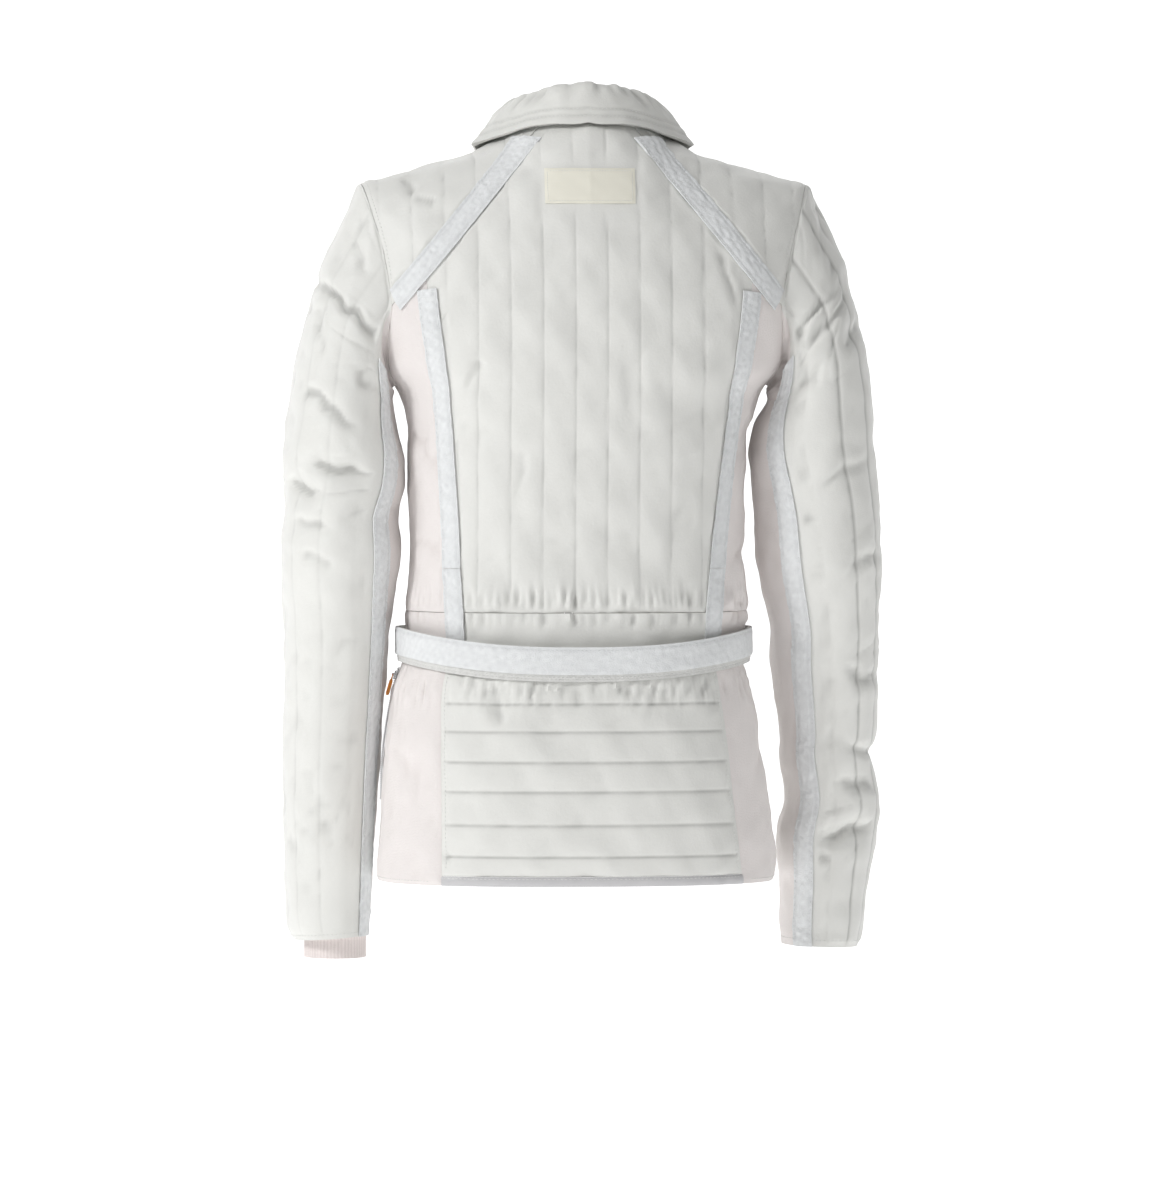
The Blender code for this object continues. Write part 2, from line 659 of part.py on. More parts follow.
def make_shoulder(side, paints):
    """Quilted shoulder piece between the diagonal seam and the shoulder ridge."""
    (x0, _), (x1, _) = diagonal_ends(side)
    x0, x1 = abs(x0), abs(x1)
    tip = abs(float(skin(*armhole(side, 0.0))[0]))
    quarter = QUILT_PITCH / 4
    shared = quarter * np.array([*range(10, 15), *OUTER_LINES])
    edge, ends = seam_top(1)[0], np.linspace(0, 1, 5)
    low = np.concatenate([[x0], quarter * np.arange(7, 10), shared, blend(edge, x1, ends)])
    high = np.concatenate([blend(NECK_HALF_WIDTH, shared[0], ends[:-1]), shared,
                           blend(edge, tip, ends)])
    low, high = side * low, side * high
    low_turn, low_level = turn_of(low, diagonal_z(side, low)), level_of(low, diagonal_z(side, low))
    high_turn, high_level = turn_of(high, ridge(high)), np.ones_like(high)
    long = np.linalg.norm(skin(high_turn, high_level) - skin(low_turn, low_level), axis=-1)
    v = np.linspace(0, 1, ARMHOLE_CELLS + 1)[:, None]
    first = np.clip(UNDER_TAPE / long, v[1], 0.4)
    bent = v ** (np.log(first) / math.log(v[1, 0]))
    turn, level = blend(low_turn, high_turn, bent), blend(low_level, high_level, bent)
    share = np.linspace(0, 1, turn.shape[1])[None, :]
    turn, level = bend_to(turn, level, armhole(side, 0.5 * (1 - v[:, 0])), share ** 4, -1)
    neck_x = side * blend(x0, NECK_HALF_WIDTH, bent[:, 0])
    turn, level = bend_to(turn, level, neck_at(neck_x), (1 - share) ** 4, 0)
    points = skin(turn, level)
    raised = QUILT_HEIGHT * pillows(points[..., 0]) * edge_fade(points)
    raised = raised * clear_of(points, seam_lines(side))
    return cloth(f"shoulder_{word(side)}", turn, level, paints["quilted"], raised)


def bend_to(turn, level, wanted, share, k):
    """A grid shifted so that its column k lies on the wanted line, by less away from it."""
    return (turn + (wanted[0] - turn[:, k])[:, None] * share,
            level + (wanted[1] - level[:, k])[:, None] * share)


def word(side):
    """Left or right, as the wearer has it."""
    return "left" if side > 0 else "right"


def make_side(side, paints):
    """Plain side panel from the waist to the armhole, and back to the foot of the diagonal."""
    x_top, _ = seam_top(side)
    _, (x_end, _) = diagonal_ends(side)
    x_diag = blend(x_top, x_end, np.linspace(0, 1, 5)[:-1])
    z_diag = diagonal_z(side, x_diag)
    low = np.linspace(0.5, 1, ARMHOLE_CELLS // 2 + 1)
    turn_a, level_a = armhole(side, low)
    turn_b, level_b = armhole(side, low[-2:1:-1], front=True)
    top_turn = np.concatenate([turn_of(x_diag, z_diag), turn_a, turn_b])
    top_level = np.concatenate([level_of(x_diag, z_diag), level_a, level_b])
    top_z = height_of(top_turn, top_level)
    a, b = back_seam(side, top_z), front_seam(side, top_z)
    share_top = (top_turn - a) / (b - a)
    share_top[0] = 0.0
    v = np.array(BODY_SHARES)[:, None]
    share = blend(np.linspace(0, 1, len(top_z)), share_top, ease(v))
    z = blend(WAIST_Z, top_z, v)
    turn = blend(back_seam(side, z), front_seam(side, z), share)
    level = level_of(skin(turn, level_of(0.0, z))[..., 0], z)
    turn[-1], level[-1] = top_turn, top_level
    return cloth(f"side_{word(side)}", turn, level, paints["fleece"])


def front_top(side):
    """Turn and level of the top edge of a front, from the zip over the neck to the tip."""
    tip = abs(float(skin(*armhole(side, 0.0))[0]))
    neck = np.array([ZIP_WIDTH / 2 + SEAM_INSET, 0.016, 0.029, 0.041, 0.051, 0.059])
    ridge_x = side * np.linspace(NECK_HALF_WIDTH, tip, 7)
    turn, level = neck_at(side * neck, front=True)
    turn = np.concatenate([turn, -turn_of(ridge_x, ridge(ridge_x))])
    return (turn if side > 0 else turn + 2 * math.pi), np.append(level, np.ones(7))


def make_front(side, paints):
    """Quilted front from the waist to the neck and the shoulder ridge."""
    top_turn, top_level = front_top(side)
    join = armhole(side, FRONT_JOIN_SHARE, front=True)
    low_z = blend(WAIST_Z, float(height_of(*join)), np.array(BODY_SHARES))
    share = (top_turn - top_turn[0]) / (top_turn[-1] - top_turn[0])
    low_z = np.broadcast_to(low_z[:, None], (len(low_z), len(share)))
    edge = side_front_edge(side, low_z[:, 0])
    low_turn = blend(front_edge(side, low_z), edge[:, None], share)
    low_x = skin(low_turn, level_of(0.0, low_z))[..., 0]
    low_level = level_of(low_x, low_z)
    low_level[-1, -1] = join[1]
    quarter = ARMHOLE_CELLS // 4
    shares = np.concatenate([np.linspace(FRONT_JOIN_SHARE, 0.5, quarter + 1)[1:],
                             np.linspace(0.5, 0, ARMHOLE_CELLS + 1)[1:]])
    v = np.linspace(0, 1, len(shares) + 1)[1:, None]
    high_turn = blend(low_turn[-1], top_turn, v)
    high_level = blend(low_level[-1], top_level, v)
    high_turn, high_level = bend_to(high_turn, high_level, armhole(side, shares, front=True),
                                    share[None, :] ** 4, -1)
    turn = np.concatenate([low_turn, high_turn])
    level = np.concatenate([low_level, high_level])
    odd = (np.arange(len(share)) % 2)[None, :]
    raised = QUILT_HEIGHT * odd * edge_fade(skin(turn, level))
    return cloth(f"front_{word(side)}", turn, level, paints["quilted"], raised)


def side_front_edge(side, z):
    """Turn of the front seam at heights up to the armhole, where it ends on the armhole itself."""
    join_turn, _ = armhole(side, FRONT_JOIN_SHARE, front=True)
    turn = front_seam(side, z)
    turn[-1] = join_turn
    return turn


def make_skirt_back(paints):
    """Lower back, quilted crossways, above its binding."""
    z, extra = list(SKIRT_ROWS[:3]), []
    for line in SKIRT_ROWS[3:-1]:
        extra.append(len(z))
        z += [(z[-1] + line) / 2, line]
    z = np.array(z)
    mid = np.isin(np.arange(len(z)), extra)
    z = np.broadcast_to(z[:, None], (len(z), 11))
    turn = blend(back_seam(1, z), back_seam(-1, z), np.linspace(0, 1, 11)[None, :])
    level = z - ARMPIT_Z
    raised = QUILT_HEIGHT * mid[:, None] * edge_fade(skin(turn, level), axes=(1,))
    return cloth("skirt_back", turn, level, paints["quilted"], raised, extra=extra)


def make_binding(paints):
    """Satin strip round the hem of the lower back."""
    z = np.broadcast_to(np.array(SKIRT_ROWS[-2:])[:, None], (2, 11))
    turn = blend(back_seam(1, z), back_seam(-1, z), np.linspace(0, 1, 11)[None, :])
    return cloth("hem_binding", turn, z - ARMPIT_Z, paints["binding"],
                 inner=-WALL / 2 - BINDING_EXTRA, outer=WALL / 2 + BINDING_EXTRA)


def make_skirt_side(side, paints):
    """Lower side panel."""
    z = np.broadcast_to(np.array(SKIRT_ROWS)[:, None], (len(SKIRT_ROWS), 5))
    turn = blend(back_seam(side, z), front_seam(side, z), np.linspace(0, 1, 5)[None, :])
    return cloth(f"skirt_side_{word(side)}", turn, z - ARMPIT_Z, paints["fleece"])


def make_skirt_front(side, paints):
    """Lower front, quilted lengthways like the front above it."""
    z = np.broadcast_to(np.array(SKIRT_ROWS)[:, None], (len(SKIRT_ROWS), 11))
    turn = blend(front_edge(side, z), front_seam(side, z), np.linspace(0, 1, 11)[None, :])
    odd = (np.arange(11) % 2)[None, :]
    level = z - ARMPIT_Z
    under_belt = ease((-0.466 - z) / 0.010)
    raised = QUILT_HEIGHT * odd * edge_fade(skin(turn, level)) * under_belt
    raised[:, -2:] = 0.0
    return cloth(f"skirt_front_{word(side)}", turn, level, paints["quilted"], raised)


def seam_strip(turn, level, width, columns):
    """Turns and levels of a strip of a width along a seam given as one column."""
    speed = np.linalg.norm(skin(turn + STEP, level) - skin(turn - STEP, level), axis=-1) / (2 * STEP)
    off = np.linspace(-width / 2, width / 2, columns)[None, :]
    return turn[:, None] + off / speed[:, None], np.broadcast_to(level[:, None], (len(turn), columns))


def make_side_tapes(side, paints):
    """Tape over the back seam, in two lengths that meet at a lap above the waist."""
    _, z_top = seam_top(side)
    rows = blend(WAIST_Z, z_top, np.array(BODY_SHARES))
    end = z_top - SIDE_TAPE_DROP
    long_z = np.append(rows[1:][rows[1:] < end - 0.004], end)
    long_z[0] += SEAM_INSET
    short_z = np.array([TAPE_END_Z, WAIST_Z, rows[1] - SEAM_INSET])
    for name, z in ((f"tape_side_{word(side)}", long_z), (f"tape_waist_{word(side)}", short_z)):
        x = by_height(BACK_SEAM_ROWS, BACK_SEAM_NAMES, word(side), z)
        turn, level = seam_strip(back_seam(side, z), level_of(x, z), TAPE_WIDTH, 4)
        low = WALL / 2 + TAPE_OFF
        cloth(name, turn, level, paints["tape"], inner=low, outer=low + TAPE_WALL, seams=())


def make_diagonal_tape(side, paints):
    """Tape over the diagonal seam, from under the collar to the armhole."""
    (x0, z0), (x1, z1) = diagonal_ends(side)
    off = np.linspace(-0.5, 0.5, 4)[None, :] * TAPE_WIDTH
    first = blend(0.035, 0.105, np.linspace(0, 1, 4)[None, :])
    last = 0.972 - 0.02 * np.linspace(-1, 1, 4)[None, :]
    down = np.linspace(0, 1, 17)[:, None]
    along = blend(first, last, down ** 1.3)
    length = math.hypot(x1 - x0, z1 - z0)
    x = x0 + along * (x1 - x0) - side * off * (z1 - z0) / length
    z = z0 + along * (z1 - z0) + side * off * (x1 - x0) / length
    low = WALL / 2 + TAPE_OFF + UNDER_COLLAR_OFF * (1 - ease(down / 0.25))[..., None]
    return cloth(f"tape_diagonal_{word(side)}", turn_of(x, z), level_of(x, z), paints["tape"],
                 inner=low, outer=low + TAPE_WALL, seams=())


def arm_table(side):
    """Rows of the sleeve on one side."""
    return ARM_LEFT if side > 0 else ARM_RIGHT


def arm_column(side, key, along):
    """A column of the sleeve table at a row number, whole or between."""
    rows = arm_table(side)
    return smooth(along, np.arange(len(rows), dtype=float), column(rows, ARM_NAMES, key))


def arm_ring(side, around, along):
    """Rounded ring between the outer and inner edge of the sleeve."""
    c = signed_power(np.cos(np.radians(around)), ARM_POWER)
    s = signed_power(np.sin(np.radians(around)), ARM_POWER)
    edge = [[arm_column(side, f"{name}_{axis}", along) for axis in "xz"] for name in ("outer", "inner")]
    x = blend(edge[1][0], edge[0][0], (c + 1) / 2)
    z = blend(edge[1][1], edge[0][1], (c + 1) / 2)
    y = arm_column(side, "middle_y", along) + arm_column(side, "half_depth", along) * s
    return np.stack(np.broadcast_arrays(x, y, z), -1)


def arm_hole(side, around):
    """Armhole point that a sleeve angle is sewn to, and the body's outward direction there."""
    turned = (np.asarray(around, float) + 180) % 360 - 180
    share = np.abs(turned) / 180
    back = armhole(side, share)
    front = armhole(side, share, front=True)
    turn = np.where(turned >= 0, back[0], front[0])
    return skin(turn, back[1]), skin_normal(turn, back[1])


def fold_depth(side, points, around, along):
    """Depth of the largest folds at points of the back half of a sleeve."""
    depth = np.zeros(points.shape[:-1])
    for x0, z0, x1, z1, half_width, deep in FOLDS_LEFT if side > 0 else FOLDS_RIGHT:
        run = np.array([x1 - x0, z1 - z0])
        off = points[..., [0, 2]] - np.array([x0, z0])
        share = np.clip((off @ run) / (run @ run), 0, 1)
        away = np.linalg.norm(off - share[..., None] * run, axis=-1)
        depth += deep * np.exp(-((away / half_width) ** 2)) * ease(4 * share) * ease(4 * (1 - share))
    return depth * ease(1.6 * np.sin(np.radians(around))) * ease((along - RING_START) / 2.0)


def arch(side, around, along):
    """First part of a sleeve: from the armhole seam it bends round a small radius, from the
    body's own direction to that of the sleeve, up and over where the sleeve hangs down."""
    hole, out = arm_hole(side, around)
    ahead, behind = arm_hole(side, around + 2)[0], arm_hole(side, around - 2)[0]
    away = -side * unit(np.cross(out, unit(ahead - behind)))
    goal = unit(arm_open(side, around, RING_START) - hole)
    bend = np.arctan2(np.sum(goal * out, -1), np.sum(goal * away, -1))
    bend = np.clip(bend, -1.2, math.radians(172))
    angle = np.abs(bend) * along
    s, c, turned = np.sin(angle)[..., None], np.cos(angle)[..., None], np.sign(bend)[..., None]
    step = (SEAM_INSET * 2 + 0.0015 * along)[..., None]
    start = away * c + out * turned * s
    return hole + ARCH_RADIUS * (s * away + turned * (1 - c) * out) + step * start


def arm_open(side, around, along):
    """Sleeve form past its start: rings that are pulled toward the armhole at first."""
    hole, _ = arm_hole(side, around)
    fade = np.clip(1 - along / ARMHOLE_BLEND, 0, 1) ** 2 * np.ones_like(around)
    return arm_ring(side, around, along) + (hole - arm_ring(side, around, 0.0)) * fade[..., None]


def arm_plain(side, around, along):
    """Sleeve form without folds."""
    around, along = np.broadcast_arrays(np.asarray(around, float), np.asarray(along, float))
    near = arch(side, around, np.clip(along, 0, ARCH_END))
    far = arm_open(side, around, np.maximum(along, RING_START))
    share = np.clip((along - ARCH_END) / (RING_START - ARCH_END), 0, 1)[..., None]
    return blend(near, far, share)


def arm_normal(side, around, along):
    """Outward direction of the sleeve form, the body's own at the armhole seam."""
    around, along = np.broadcast_arrays(np.asarray(around, float), np.asarray(along, float))
    a = arm_plain(side, around + 1, along) - arm_plain(side, around - 1, along)
    b = arm_plain(side, around, along + ARM_STEP) - arm_plain(side, around, along - ARM_STEP)
    _, at_hole = arm_hole(side, around)
    own = unit(np.cross(b, a)) * side
    return unit(blend(at_hole, own, ease(along / 0.05)[..., None]))


def arm_cloth(name, side, around, along, material, raised=0.0, inner=-WALL / 2, outer=WALL / 2,
              seams=(1,), round_=False):
    """A piece on the sleeve form, with the largest folds pressed in."""
    points = arm_plain(side, around, along)
    normal = arm_normal(side, around, along)
    points = points - normal * fold_depth(side, points, around, along)[..., None]
    if seams:
        points = inset(points, seams)
    height = np.broadcast_to(np.asarray(raised, float), points.shape[:-1])[..., None]
    shape = wall(points + normal * (outer + height), points + normal * inner, round_)
    return solid(name, shape, material)


def arm_rows(side, count):
    """Row numbers from the armhole seam to the sleeve hem, closer near the armhole."""
    last = len(arm_table(side)) - 1
    start = np.array([0.0, 0.5, 1.0, 1.2, 1.5, 2.0, 2.5])
    return np.concatenate([start, np.linspace(3.1, last, count - len(start))])[:, None]


def under_front(along):
    """Angle of the front seam of the sleeve."""
    return -blend(UNDER_FRONT_AT_ARMHOLE, UNDER_FRONT_DEGREES, ease(along / 2.5))


def make_sleeve(side, paints):
    """Quilted outer sleeve, plain under sleeve and the tape over the back seam."""
    along = arm_rows(side, 23)
    seam, front = arm_column(side, "seam", along), under_front(along)
    speed = np.linalg.norm(arm_plain(side, seam + 1, along) - arm_plain(side, seam - 1, along),
                           axis=-1) / 2
    cells = 2 * ARMHOLE_CELLS
    share = np.linspace(0, 1, cells + 1)[None, :]
    taped = np.append(np.linspace(0, 1, cells)[None, :] * (seam - front - UNDER_TAPE / speed),
                      seam - front, axis=1)
    around = front + blend(share * (seam - front), taped, ease(along / 2.0))
    points = arm_plain(side, around, along)
    raise_at = np.array([k % 2 for k in range(cells - 1)] + [0, 0])[None, :]
    raised = QUILT_HEIGHT * raise_at * edge_fade(points) * ease((along - 1.0) / 1.5)
    arm_cloth(f"sleeve_{word(side)}", side, around, along, paints["quilted"], raised)
    around = blend(seam, 360 + front, np.linspace(0, 1, ARMHOLE_CELLS + 1)[None, :])
    arm_cloth(f"under_sleeve_{word(side)}", side, around, along, paints["fleece"])
    along, seam, speed = along[4:], seam[4:], speed[4:]
    off = np.linspace(-TAPE_WIDTH / 2, TAPE_WIDTH / 2, 4)[None, :]
    low = WALL / 2 + TAPE_OFF
    arm_cloth(f"tape_sleeve_{word(side)}", side, seam + off / speed, along, paints["tape"],
              inner=low, outer=low + TAPE_WALL, seams=())


def make_cuff(row, paints):
    """Knit cuff: sewn inside the sleeve near its hem and drawn in to the wrist below it."""
    side, x, y, half_width, half_depth, end_z, first = row
    around = np.linspace(0, 360, CUFF_COLUMNS, endpoint=False)[None, :]
    top = arm_plain(side, around, first)[0]
    top = top - arm_normal(side, around, first)[0] * (WALL / 2 + CUFF_IN + CUFF_WALL / 2)
    ring = np.stack([x + side * half_width * np.cos(np.radians(around[0])),
                     y + half_depth * np.sin(np.radians(around[0])), np.full(CUFF_COLUMNS, end_z)], -1)
    neck = ring.copy()
    neck[:, 2] = blend(top[:, 2].mean(), end_z, 0.5)
    points = np.stack([top, blend(top, neck, 0.7), neck, ring])
    out = unit((points - points.mean(1, keepdims=True)) * np.array([1.0, 1.0, 0.0]))
    shape = wall(points + out * CUFF_WALL / 2, points - out * CUFF_WALL / 2, round_=True)
    return solid(f"cuff_{word(side)}", shape, paints["cuff"])


def make_belt(paints):
    """Belt round the waist with its ends beside the front zip: a backing and a narrower face."""
    z_mid = BELT_TOP_Z - BELT_BACKING_HEIGHT / 2
    start = -float(turn_of(by_height(BODY_ROWS, BODY_NAMES, "centre", z_mid) + BELT_GAP_X, z_mid))
    turn = np.linspace(start, math.pi - start, 41)[None, :]
    sag = BELT_SAG * np.maximum(np.sin(turn), 0) ** 2
    low = BELT_OFF
    for name, height, paint_name in (("belt_backing", BELT_BACKING_HEIGHT, "belt"),
                                     ("belt_face", BELT_FACE_HEIGHT, "tape")):
        down = np.array([[0.0], [height]])
        z = BELT_TOP_Z - sag - down
        body = skin(turn, z_mid - ARMPIT_Z - sag)
        out = skin_normal(turn, z_mid - ARMPIT_Z - sag)
        out = unit(out * np.array([1.0, 1.0, 0.0]))
        ring = np.broadcast_to(body + out * BELT_ROOM, z.shape + (3,)).copy()
        ring[..., 2] = z
        out = np.broadcast_to(out, ring.shape)
        solid(name, wall(ring + out * (low + BELT_WALL), ring + out * low), paints[paint_name])
        low += BELT_WALL + ON_CLOTH


def roll_size(key):
    """A size of the collar's roll line."""
    return COLLAR_ROW[COLLAR_NAMES.index(key)]


def collar_ring(beta):
    """Roll line of the collar at an angle, back half above the front half."""
    half_width, back_y, front_y = roll_size("half_width"), roll_size("back_y"), roll_size("front_y")
    s, c = np.sin(beta), np.cos(beta)
    y = np.where(s > 0, back_y * s, -front_y * s)
    z = blend(roll_size("side_z"), np.where(s > 0, roll_size("back_z"), roll_size("front_z")), s * s)
    return np.stack([half_width * c, y, z], -1)


def make_collar(paints):
    """Turn-down collar: a padded fall from the roll line over the neck seam, and the stand
    inside it, from the neck seam to just under the roll line."""
    start = -math.acos(COLLAR_OPEN_X / roll_size("half_width"))
    beta = np.linspace(start, math.pi - start, 33)
    roll = collar_ring(beta)
    flat = np.stack([np.cos(beta), np.sin(beta), np.zeros_like(beta)], -1)
    edge = round_neck(beta, FALL_EDGE_HALF_WIDTH, FALL_EDGE_BACK_Y, FALL_EDGE_FRONT_Y, 2.0)
    edge = skin(*edge) + skin_normal(*edge) * FALL_OFF
    a = roll - flat * FALL_START_IN
    b = roll + flat * FALL_BULGE_OUT + np.array([0, 0, FALL_BULGE_UP])
    t = np.linspace(0, 1, 5)[:, None, None]
    fall = a * (1 - t) ** 2 + b * 2 * t * (1 - t) + edge * t * t
    out = unit(np.cross(np.gradient(fall, axis=0), np.gradient(fall, axis=1)))
    solid("collar_fall", wall(fall + out * FALL_WALL / 2, fall - out * FALL_WALL / 2),
          paints["collar"])
    neck = round_neck(beta, NECK_HALF_WIDTH, NECK_BACK_Y, NECK_FRONT_Y)
    foot, foot_out = skin(*neck), skin_normal(*neck)
    up = out[0] * np.sign(out[0][:, 2:3])
    top = roll - up * (FALL_WALL / 2 + ROLL_GAP)
    foot = foot + unit(top - foot) * np.where(beta < 0, FRONT_FOOT_GAP, BACK_FOOT_GAP)[:, None]
    v = np.linspace(0, 1, 3)[:, None, None]
    points = blend(foot, top, v)
    out = unit(blend(foot_out, flat, ease(2.5 * v)))
    solid("collar_stand", wall(points + out * STAND_WALL / 2, points - out * STAND_WALL / 2),
          paints["collar"])


def make_zips(paints):
    """Closed chain of the front zip between the fronts, and the pocket zip on the left seam."""
    z = np.concatenate([np.linspace(HEM_Z, WAIST_Z, 9)[:-1], np.linspace(WAIST_Z, FRONT_ZIP_TOP_Z, 14)])
    middle = by_height(BODY_ROWS, BODY_NAMES, "centre", z)[:, None]
    x = middle + np.linspace(-0.5, 0.5, 3)[None, :] * (ZIP_WIDTH - 4 * SEAM_INSET)
    z = np.broadcast_to(z[:, None], x.shape)
    cloth("front_zip", -turn_of(x, z), level_of(x, z), paints["zip"],
          inner=-ZIP_WALL / 2, outer=ZIP_WALL / 2, seams=())
    z = np.linspace(POCKET_ZIP_BOTTOM_Z, POCKET_ZIP_TOP_Z, 6)
    turn, level = seam_strip(front_seam(1, z), z - ARMPIT_Z, ZIP_WIDTH, 3)
    low = WALL / 2 + ON_CLOTH
    cloth("pocket_zip", turn, level, paints["zip"], inner=low, outer=low + ZIP_WALL, seams=())


def loft(layers):
    """Closed body from outlines of rounded rectangles stacked along +Y."""
    angle = np.linspace(0, 2 * math.pi, 12, endpoint=False)
    c, s = signed_power(np.cos(angle), HARD_ROUND), signed_power(np.sin(angle), HARD_ROUND)
    rings = [np.stack([w * c, np.full(12, y), h * s], -1) for y, w, h in layers]
    verts = np.concatenate(rings + [rings[0].mean(0)[None], rings[-1].mean(0)[None]])
    index = np.arange(12 * len(rings)).reshape(len(rings), 12)
    index = np.concatenate([index, index[:, :1]], 1)
    first, last = len(verts) - 2, len(verts) - 1
    caps = [(index[0, k + 1], index[0, k], first) for k in range(12)]
    caps += [(index[-1, k], index[-1, k + 1], last) for k in range(12)]
    return verts, np.concatenate([quads(index), np.array(caps)])


def fork(rows):
    """Pull tab hanging from the origin: a plate whose top is split by a slot for the slider."""
    z = column(rows, PULL_NAMES, "z")
    half = column(rows, PULL_NAMES, "half_width")
    thick = column(rows, PULL_NAMES, "half_thick")
    xs = np.stack([-half, np.full_like(half, -FORK_HALF_SLOT), np.full_like(half, FORK_HALF_SLOT), half], 1)
    zs, ts = np.broadcast_to(z[:, None], xs.shape), np.broadcast_to(thick[:, None], xs.shape)
    verts = np.concatenate([np.stack([xs, s * ts, zs], -1).reshape(-1, 3) for s in (-1, 1)])
    index = np.arange(xs.size).reshape(xs.shape)
    filled = np.ones((len(z) - 1, 3), bool)
    filled[0, 1] = False
    faces, edges = [], {}
    for r, c in zip(*np.nonzero(filled)):
        loop = [index[r, c], index[r, c + 1], index[r + 1, c + 1], index[r + 1, c]]
        faces += [(loop[0], loop[1], loop[2]), (loop[0], loop[2], loop[3])]
        for a, b in zip(loop, loop[1:] + loop[:1]):
            if (b, a) in edges:
                del edges[(b, a)]
            else:
                edges[(a, b)] = True
    count = xs.size
    back = [(a + count, c + count, b + count) for a, b, c in faces]
    rim = [t for a, b in edges for t in ((b, a, a + count), (b, a + count, b + count))]
    return verts, np.array(faces + back + rim)


def frame_at(turn, level, out):
    """Matrix of a small hard part on the form: width, outward and upward axes."""
    point, normal = skin(turn, level), skin_normal(turn, level)
    up = unit(skin(turn, level + STEP) - skin(turn, level - STEP))
    up = unit(up - normal * (up @ normal))
    wide = np.cross(normal, up)
    matrix = Matrix([[wide[k], normal[k], up[k]] for k in range(3)]).to_4x4()
    matrix.translation = [float(v) for v in point + normal * out]
    return matrix


def make_slider(name, matrix, rows, paints, pull_paint):
    """Zip slider with a central fin, and the pull tab that swings on it."""
    carrier = bpy.data.objects.new(f"{name}_place", None)
    bpy.context.scene.collection.objects.link(carrier)
    carrier.matrix_world = matrix
    solid(f"{name}_slider", loft(SLIDER_LAYERS), paints["metal"], parent=carrier)
    solid(f"{name}_pull", fork(rows), paints[pull_paint], place=(0.0, PIVOT_OUT, 0.0), parent=carrier)


def make_hardware(paints):
    """Sliders and pull tabs of both zips."""
    level = float(level_of(0.0, FRONT_SLIDER_Z))
    matrix = frame_at(-math.pi / 2, level, ZIP_WALL / 2 + ON_CLOTH)
    make_slider("front", matrix, FRONT_PULL_ROWS, paints, "pull")
    turn = float(front_seam(1, POCKET_SLIDER_Z))
    out = WALL / 2 + ON_CLOTH + ZIP_WALL + ON_CLOTH
    matrix = frame_at(turn, POCKET_SLIDER_Z - ARMPIT_Z, out)
    make_slider("pocket", matrix, POCKET_PULL_ROWS, paints, "orange")


def main():
    """Build every piece."""
    for obj in list(bpy.data.objects):
        bpy.data.objects.remove(obj, do_unlink=True)
    paints = make_materials()
    make_back(paints)
    make_label(paints)
    for side in (1, -1):
        make_shoulder(side, paints)
        make_side(side, paints)
        make_front(side, paints)
        make_skirt_side(side, paints)
        make_skirt_front(side, paints)
        make_side_tapes(side, paints)
        make_diagonal_tape(side, paints)
        make_sleeve(side, paints)
    make_skirt_back(paints)
    make_binding(paints)
    for row in CUFF_ROWS:
        make_cuff(row, paints)
    make_belt(paints)
    make_collar(paints)
    make_zips(paints)
    make_hardware(paints)


main()
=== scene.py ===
# %% [markdown]
# # Fencing jacket
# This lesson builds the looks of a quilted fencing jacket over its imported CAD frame. The jacket
# keeps the shape it has when worn. It is seen from behind, as in the photograph: a padded back
# quilted in vertical channels, shoulder pieces above two diagonal tapes, plain knit side panels,
# a belt, a lower back quilted crossways, long sleeves and a turn-down collar.
# Every cloth piece lies on one of two smooth forms, the skin of the body and the arm of a
# sleeve. These are the forms of the CAD solids. The scene takes them at a finer grid and adds
# what solids leave out: channel stitching, creases, puckers, sewing, weave and nap.

import math

import bpy
import numpy as np
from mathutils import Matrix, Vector


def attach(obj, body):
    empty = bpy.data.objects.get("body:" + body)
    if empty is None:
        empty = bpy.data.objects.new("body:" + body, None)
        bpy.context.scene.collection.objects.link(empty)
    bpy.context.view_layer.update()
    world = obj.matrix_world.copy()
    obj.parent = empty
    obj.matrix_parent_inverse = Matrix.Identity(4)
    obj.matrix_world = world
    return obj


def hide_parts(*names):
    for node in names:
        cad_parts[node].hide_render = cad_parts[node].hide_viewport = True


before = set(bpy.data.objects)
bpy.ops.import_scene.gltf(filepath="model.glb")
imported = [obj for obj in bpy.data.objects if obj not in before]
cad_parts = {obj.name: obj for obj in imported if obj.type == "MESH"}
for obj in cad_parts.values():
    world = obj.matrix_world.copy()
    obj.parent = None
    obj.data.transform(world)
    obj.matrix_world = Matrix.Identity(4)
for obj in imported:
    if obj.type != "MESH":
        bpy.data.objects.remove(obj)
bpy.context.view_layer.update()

# %% [markdown]
# ## Sizes
# Metres, with the origin inside the neck at the height of the shoulder points. The wearer's
# left is +X, the back is +Y and +Z is up. One pixel of the photograph is 0.88 mm here. The
# sections of the body, the rings of the sleeves and the seams are short tables, so that a
# reader can change one row and see what moves.

# %% Sizes and tables
# Cloth thicknesses and clearances
WALL = 0.0020
TAPE_WALL = 0.0012
SEAM_INSET = 0.00016
ON_CLOTH = 0.00050
TAPE_OFF = 0.00095
UNDER_COLLAR_OFF = 0.0010
QUILT_HEIGHT = 0.0022
QUILT_PITCH = 0.0279
OUTER_LINES = (16, 18)
EDGE_RISE = 0.008
TAPE_CLEAR = 0.0098

